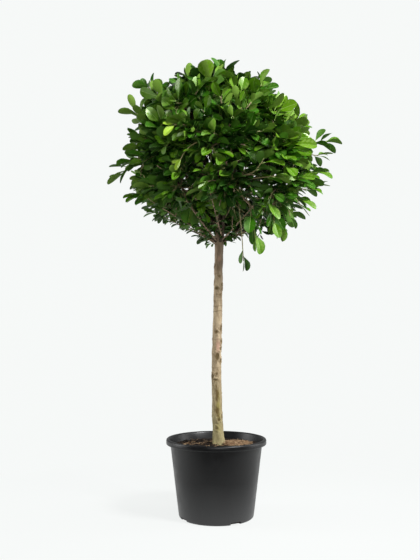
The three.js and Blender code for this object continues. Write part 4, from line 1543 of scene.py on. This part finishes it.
def leaf_places(line, count, seed, spacing, droop):
    """Roots, directions, faces, ages and widths for one twig's leaves, youngest first."""
    i = np.arange(count)
    length = np.linalg.norm(np.diff(line, axis=0), axis=1).sum()
    back = np.minimum(TIP_GAP + i * spacing, 0.9 * length) / length
    at = (1 - back) * (len(line) - 1)
    low = np.minimum(at.astype(int), len(line) - 2)
    step = line[low + 1] - line[low]
    root = line[low] + step * (at - low)[:, None]
    height = (root[:, 2:] - HEAD_CENTRE[2]) / HEAD_REACH
    low_share = np.clip(LOW_FROM - LOW_RATE * height, 0, 1)
    ahead = unit(unit(step) + LEAF_LIFT * np.clip(0.3 + height, 0, 1) * UP)
    across = across_of(ahead)
    beside = np.cross(ahead, across)
    turn = (i * GOLDEN_ANGLE + chance(seed, 1, 0) * math.tau + 0.7 * chance(seed, 2, i))[:, None]
    around = across * np.cos(turn) + beside * np.sin(turn)
    lean = np.minimum(LEAF_LEAN + i * LEAF_LEAN_STEP, LEAF_LEAN_MOST)
    lean = np.radians(lean + LEAF_LEAN_SPREAD * (chance(seed, 3, i) - 0.5))[:, None]
    direction = ahead * np.cos(lean) + around * np.sin(lean)
    outward = unit(root - HEAD_CENTRE)
    level = unit(direction * (1, 1, 0.5) + 0.7 * outward * (1, 1, 0.4) - 0.06 * UP)
    direction = unit(direction + (level - direction) * low_share - droop * UP)
    stray = np.stack([chance(seed, 4, i), chance(seed, 5, i), chance(seed, 6, i)], axis=1) - 0.5
    high_face = 0.9 * ahead + 0.6 * outward + 0.2 * UP
    low_face = 0.25 * ahead + 1.0 * UP
    face = high_face + (low_face - high_face) * low_share + LEAF_STRAY * (1 - 0.4 * low_share) * stray
    age = np.where(i == 0, YOUNGEST, 1.0) * (AGE_SPREAD[0] + AGE_SPREAD[1] * chance(seed, 7, i))
    slim = LEAF_SHARE[0] + (LEAF_SHARE[1] - LEAF_SHARE[0]) * chance(seed, 10, i)
    slim *= 1 - LOW_SLIM * low_share[:, 0]
    return root, direction, face, age, slim


# %% [markdown]
# Each twig gets its spray, and the older leaves of a spray are one green darker. How light it
# is follows its luck and how strong its clump grows, and, as painted shade and light, how deep
# it lies and how high. Dark sprays along the inner half of the main twigs take the darkest
# green, as painted shade, and close the middle of the head.

# %% Sprays of the head
GREEN_STEPS = (0.28, 0.53, 0.94)
END_GROWTH = 0.16
MAIN_LEAVES, MAIN_SPACING, MAIN_SEEDS = 8, 0.0095, 3000
MAIN_SIZE = (0.78, 0.36)
MAIN_DEPTH_SHARE = 0.4
INNER_LEAVES, INNER_SPACING, INNER_SEEDS = 8, 0.010, 3500
INNER_SIZE = 0.92
INNER_END = 6
INNER_OVER = 0.10
FINE_LEAVES, FINE_SPACING = 6, 0.0105
FINE_SIZE = (0.68, 0.44)
STRONG = 0.5
STRONG_GAPS = 0.35
vigour = chance(np.arange(TWIG_COUNT), 13, 0)


def height_share(point):
    return (point[2] - HEAD_CENTRE[2]) / HEAD_REACH


def spray_green(seed, clump, depth, height):
    """The green of a spray, from its luck, its clump's vigour, and painted shade and light from its
    depth and its height.
    """
    # Painted light and shade: deeper sprays are darker, those a little above the middle lighter, and the
    # top ones darker.
    sunny = 0.12 * np.cos(2.4 * (height - 0.45)) - 3.2 * max(height - 0.62, 0)
    light = 0.60 * (1 - depth) + sunny + 0.24 * chance(seed, 8, 0) + 0.32 * vigour[clump]
    return int(np.digitize(light, GREEN_STEPS))


def spray_size(sizes, clump, height):
    """Leaves are larger on strong clumps, towards the top and a little towards the foot."""
    return (sizes[0] + sizes[1] * vigour[clump]) * (1 + END_GROWTH * max(height, -0.3 * height))


def new_spray(number, line, count, spacing, seed, green, size, droop=0.0):
    return SimpleNamespace(number=number, line=line, tip=line[-1], count=count, spacing=spacing,
                           seed=seed, green=green, size=size, droop=droop)


head_sprays = []
for number, line, i in main_sprays:
    height = height_share(line[-1])
    green = spray_green(MAIN_SEEDS + i, i, clump_luck[i] * MAIN_DEPTH_SHARE, height)
    head_sprays.append(new_spray(number, line, MAIN_LEAVES, MAIN_SPACING, MAIN_SEEDS + i, green,
                                 spray_size(MAIN_SIZE, i, height)))
    if over_underside(line[-1]) > INNER_OVER:
        head_sprays.append(new_spray(number, line[:INNER_END], INNER_LEAVES, INNER_SPACING,
                                     INNER_SEEDS + i, SHADE, INNER_SIZE))
for number, line, i in fine_sprays:
    height = height_share(line[-1])
    clump = fine_clump[i]
    if vigour[clump] > STRONG and chance(i, 19, 0) < STRONG_GAPS:
        continue
    green = spray_green(i, clump, fine_share[i], height)
    head_sprays.append(new_spray(number, line, FINE_LEAVES, FINE_SPACING, i, green,
                                 spray_size(FINE_SIZE, clump, height)))
print(len(head_sprays), "sprays on the head's twigs")

# %% [markdown]
# Sprays thin out towards the underside, more so on the left, where the boughs show, and its
# bare inner part keeps only a few small ones in the darkest green, as painted shade. Spurs and
# side limbs carry small sprays in the dark greens, painted shade under the head, and the long
# shoots those that their list gives.

# %% Thin the sprays and add the others
THIN_FROM = 0.20
THIN_MOST = 0.60
THIN_LEFT = 0.25
BARE_LUCK = 0.88
BARE_LEAVES = 3
BARE_SIZE = 0.6
SPUR_SIZE = {"lower": 0.52, "middle": 0.72, "upper": 0.72, "crest": 0.8}
SPUR_LEAVES = {"lower": 3, "middle": 4, "upper": 4, "crest": 4}
SPUR_SPACING = 0.006
SPUR_GREEN_LUCK = 0.7
SIDE_SIZE = 0.75
LIMB_DROOP = 0.1
SIDE_SEEDS = 9000
SHOOT_SPACING, SHOOT_SEEDS = 0.013, 5000
HANG_BELOW = 0.3
HANG_DROOP = 1.1
sprays = []
for spray in head_sprays:
    over = over_underside(spray.tip)
    most = THIN_MOST + (THIN_LEFT if spray.tip[0] < 0 else 0)
    thinned = most * np.clip(1 - over / THIN_FROM, 0, 1)
    if over > BARE_LAYER or aside_of(spray.tip) > BARE_REACH:
        if chance(spray.seed, 18, 0) > thinned:
            sprays.append(spray)
    elif chance(spray.seed, 14, 0) > BARE_LUCK:
        # Painted shade: the few sprays left on the bare underside take the darkest green.
        spray.count, spray.green, spray.size = BARE_LEAVES, SHADE, BARE_SIZE
        sprays.append(spray)
for number, line, seed, ring in spurs:
    # Painted shade: spur sprays take the dark greens.
    green = DEEP if chance(seed, 17, 0) > SPUR_GREEN_LUCK else SHADE
    sprays.append(new_spray(number, line, SPUR_LEAVES[ring], SPUR_SPACING, seed, green,
                            SPUR_SIZE[ring], LIMB_DROOP))
for number, line in side_limbs:
    sprays.append(new_spray(number, line, FINE_LEAVES, FINE_SPACING, SIDE_SEEDS + len(sprays),
                            DEEP, SIDE_SIZE, LIMB_DROOP))
for j, (number, line, leaves, size, green) in enumerate(shoots):
    hangs = line[-1][2] < HEAD_CENTRE[2] - HANG_BELOW
    sprays.append(new_spray(number, line, leaves, SHOOT_SPACING, SHOOT_SEEDS + j, green, size,
                            HANG_DROOP if hangs else 0.0))
print(len(sprays), "sprays")

# %% [markdown]
# Now every leaf of every spray is placed. The leaves of the long shoots on both sides lie
# level, so they are seen nearly from their edge from the front, and lime ones lie flat on the
# head. A leaf whose middle or tip comes near a limb, or that would leave the frame's box, is
# skipped. Nothing keeps leaves off each other.

# %% Place the leaves
LEAF_LENGTH = 0.079
WIDTH_GROWTH = (0.70, 0.34)
WIDTH_LIMITS = (0.4, 1.1)
SIDE_REACH = 0.30
SIDE_FACE = 0.4
SIDE_SLIM = 0.85
LIME_FLATTENED = 0.9
TIP_CLEARANCE = 0.006
MIDDLE_CLEARANCE = 0.008
OLD_FROM = 3
BOX_MARGIN = 0.006
box_low = np.array(cad_box[0]) - BOX_MARGIN
box_high = np.array(cad_box[1]) + BOX_MARGIN
side_shoots = {SHOOT_SEEDS + j for j, shoot in enumerate(shoots) if abs(shoot[1][-1][0]) > SIDE_REACH}
leaf_rows = [[] for mass in masses]
for spray in sprays:
    root, direction, face, age, slim = leaf_places(
        spray.line, spray.count, spray.seed, spray.spacing, spray.droop
    )
    if spray.green == LIME:
        face = unit(root - HEAD_CENTRE)
        direction = unit(direction - LIME_FLATTENED * (direction * face).sum(1)[:, None] * face)
    if spray.seed in side_shoots:
        face = SIDE_FACE * face + UP
        slim = slim * SIDE_SLIM
    length = LEAF_LENGTH * age * spray.size
    width = length * slim * (WIDTH_GROWTH[0] + WIDTH_GROWTH[1] * np.clip(spray.size, *WIDTH_LIMITS))
    shape = (len(LEAF_SHAPES) * chance(spray.seed, 11, np.arange(spray.count))).astype(int)
    tip = root + direction * length[:, None]
    kept = (tip > box_low).all(1) & (tip < box_high).all(1)
    kept &= clear_of_limbs(tip, TIP_CLEARANCE) & clear_of_limbs((root + tip) / 2, MIDDLE_CLEARANCE)
    for k in np.flatnonzero(kept):
        is_old = k >= OLD_FROM and SHADE < spray.green < LIME
        green = spray.green - 1 if is_old else spray.green
        leaf_rows[spray.number].append(
            (root[k], direction[k], face[k], length[k], width[k], shape[k], green)
        )
print(sum(map(len, leaf_rows)), "leaves")

# %% [markdown]
# Each mass's leaves become one joined mesh, which stands for that mass's plain solid. Every
# leaf's three axes come from its direction and its face, and the rim and the rib are marked
# sharp in the same pass, from the pairs of corners that were noted on the one leaf.

# %% Leaf meshes
for mass, rows in zip(masses, leaf_rows):
    root, direction, face, length, width, shape, green = (np.array(column) for column in zip(*rows))
    beside = unit(np.cross(face, direction))
    axes = (beside, direction, np.cross(direction, beside))
    corners = place_shapes(LEAF_SHAPES[shape], root, axes, (width, length, length))
    faces = repeat_faces(LEAF_FACES, LEAF_CORNERS, len(rows))
    slots = np.where(LEAF_KINDS == RIB, RIB_SLOT, green[:, None] * 2 + LEAF_KINDS)
    leaves = mesh_from_arrays("leaves_" + mass.name, corners, faces, leaf_finishes, slots.ravel())
    pairs = np.empty(len(leaves.data.edges) * 2, np.int32)
    leaves.data.edges.foreach_get("vertices", pairs)
    pairs = pairs.reshape(-1, 2) % LEAF_CORNERS
    sharp = leaves.data.attributes.new("sharp_edge", "BOOLEAN", "EDGE")
    sharp.data.foreach_set("value", sharp_pairs[pairs[:, 0], pairs[:, 1]])
    settle(leaves, "foliage", "foliage_" + mass.name)
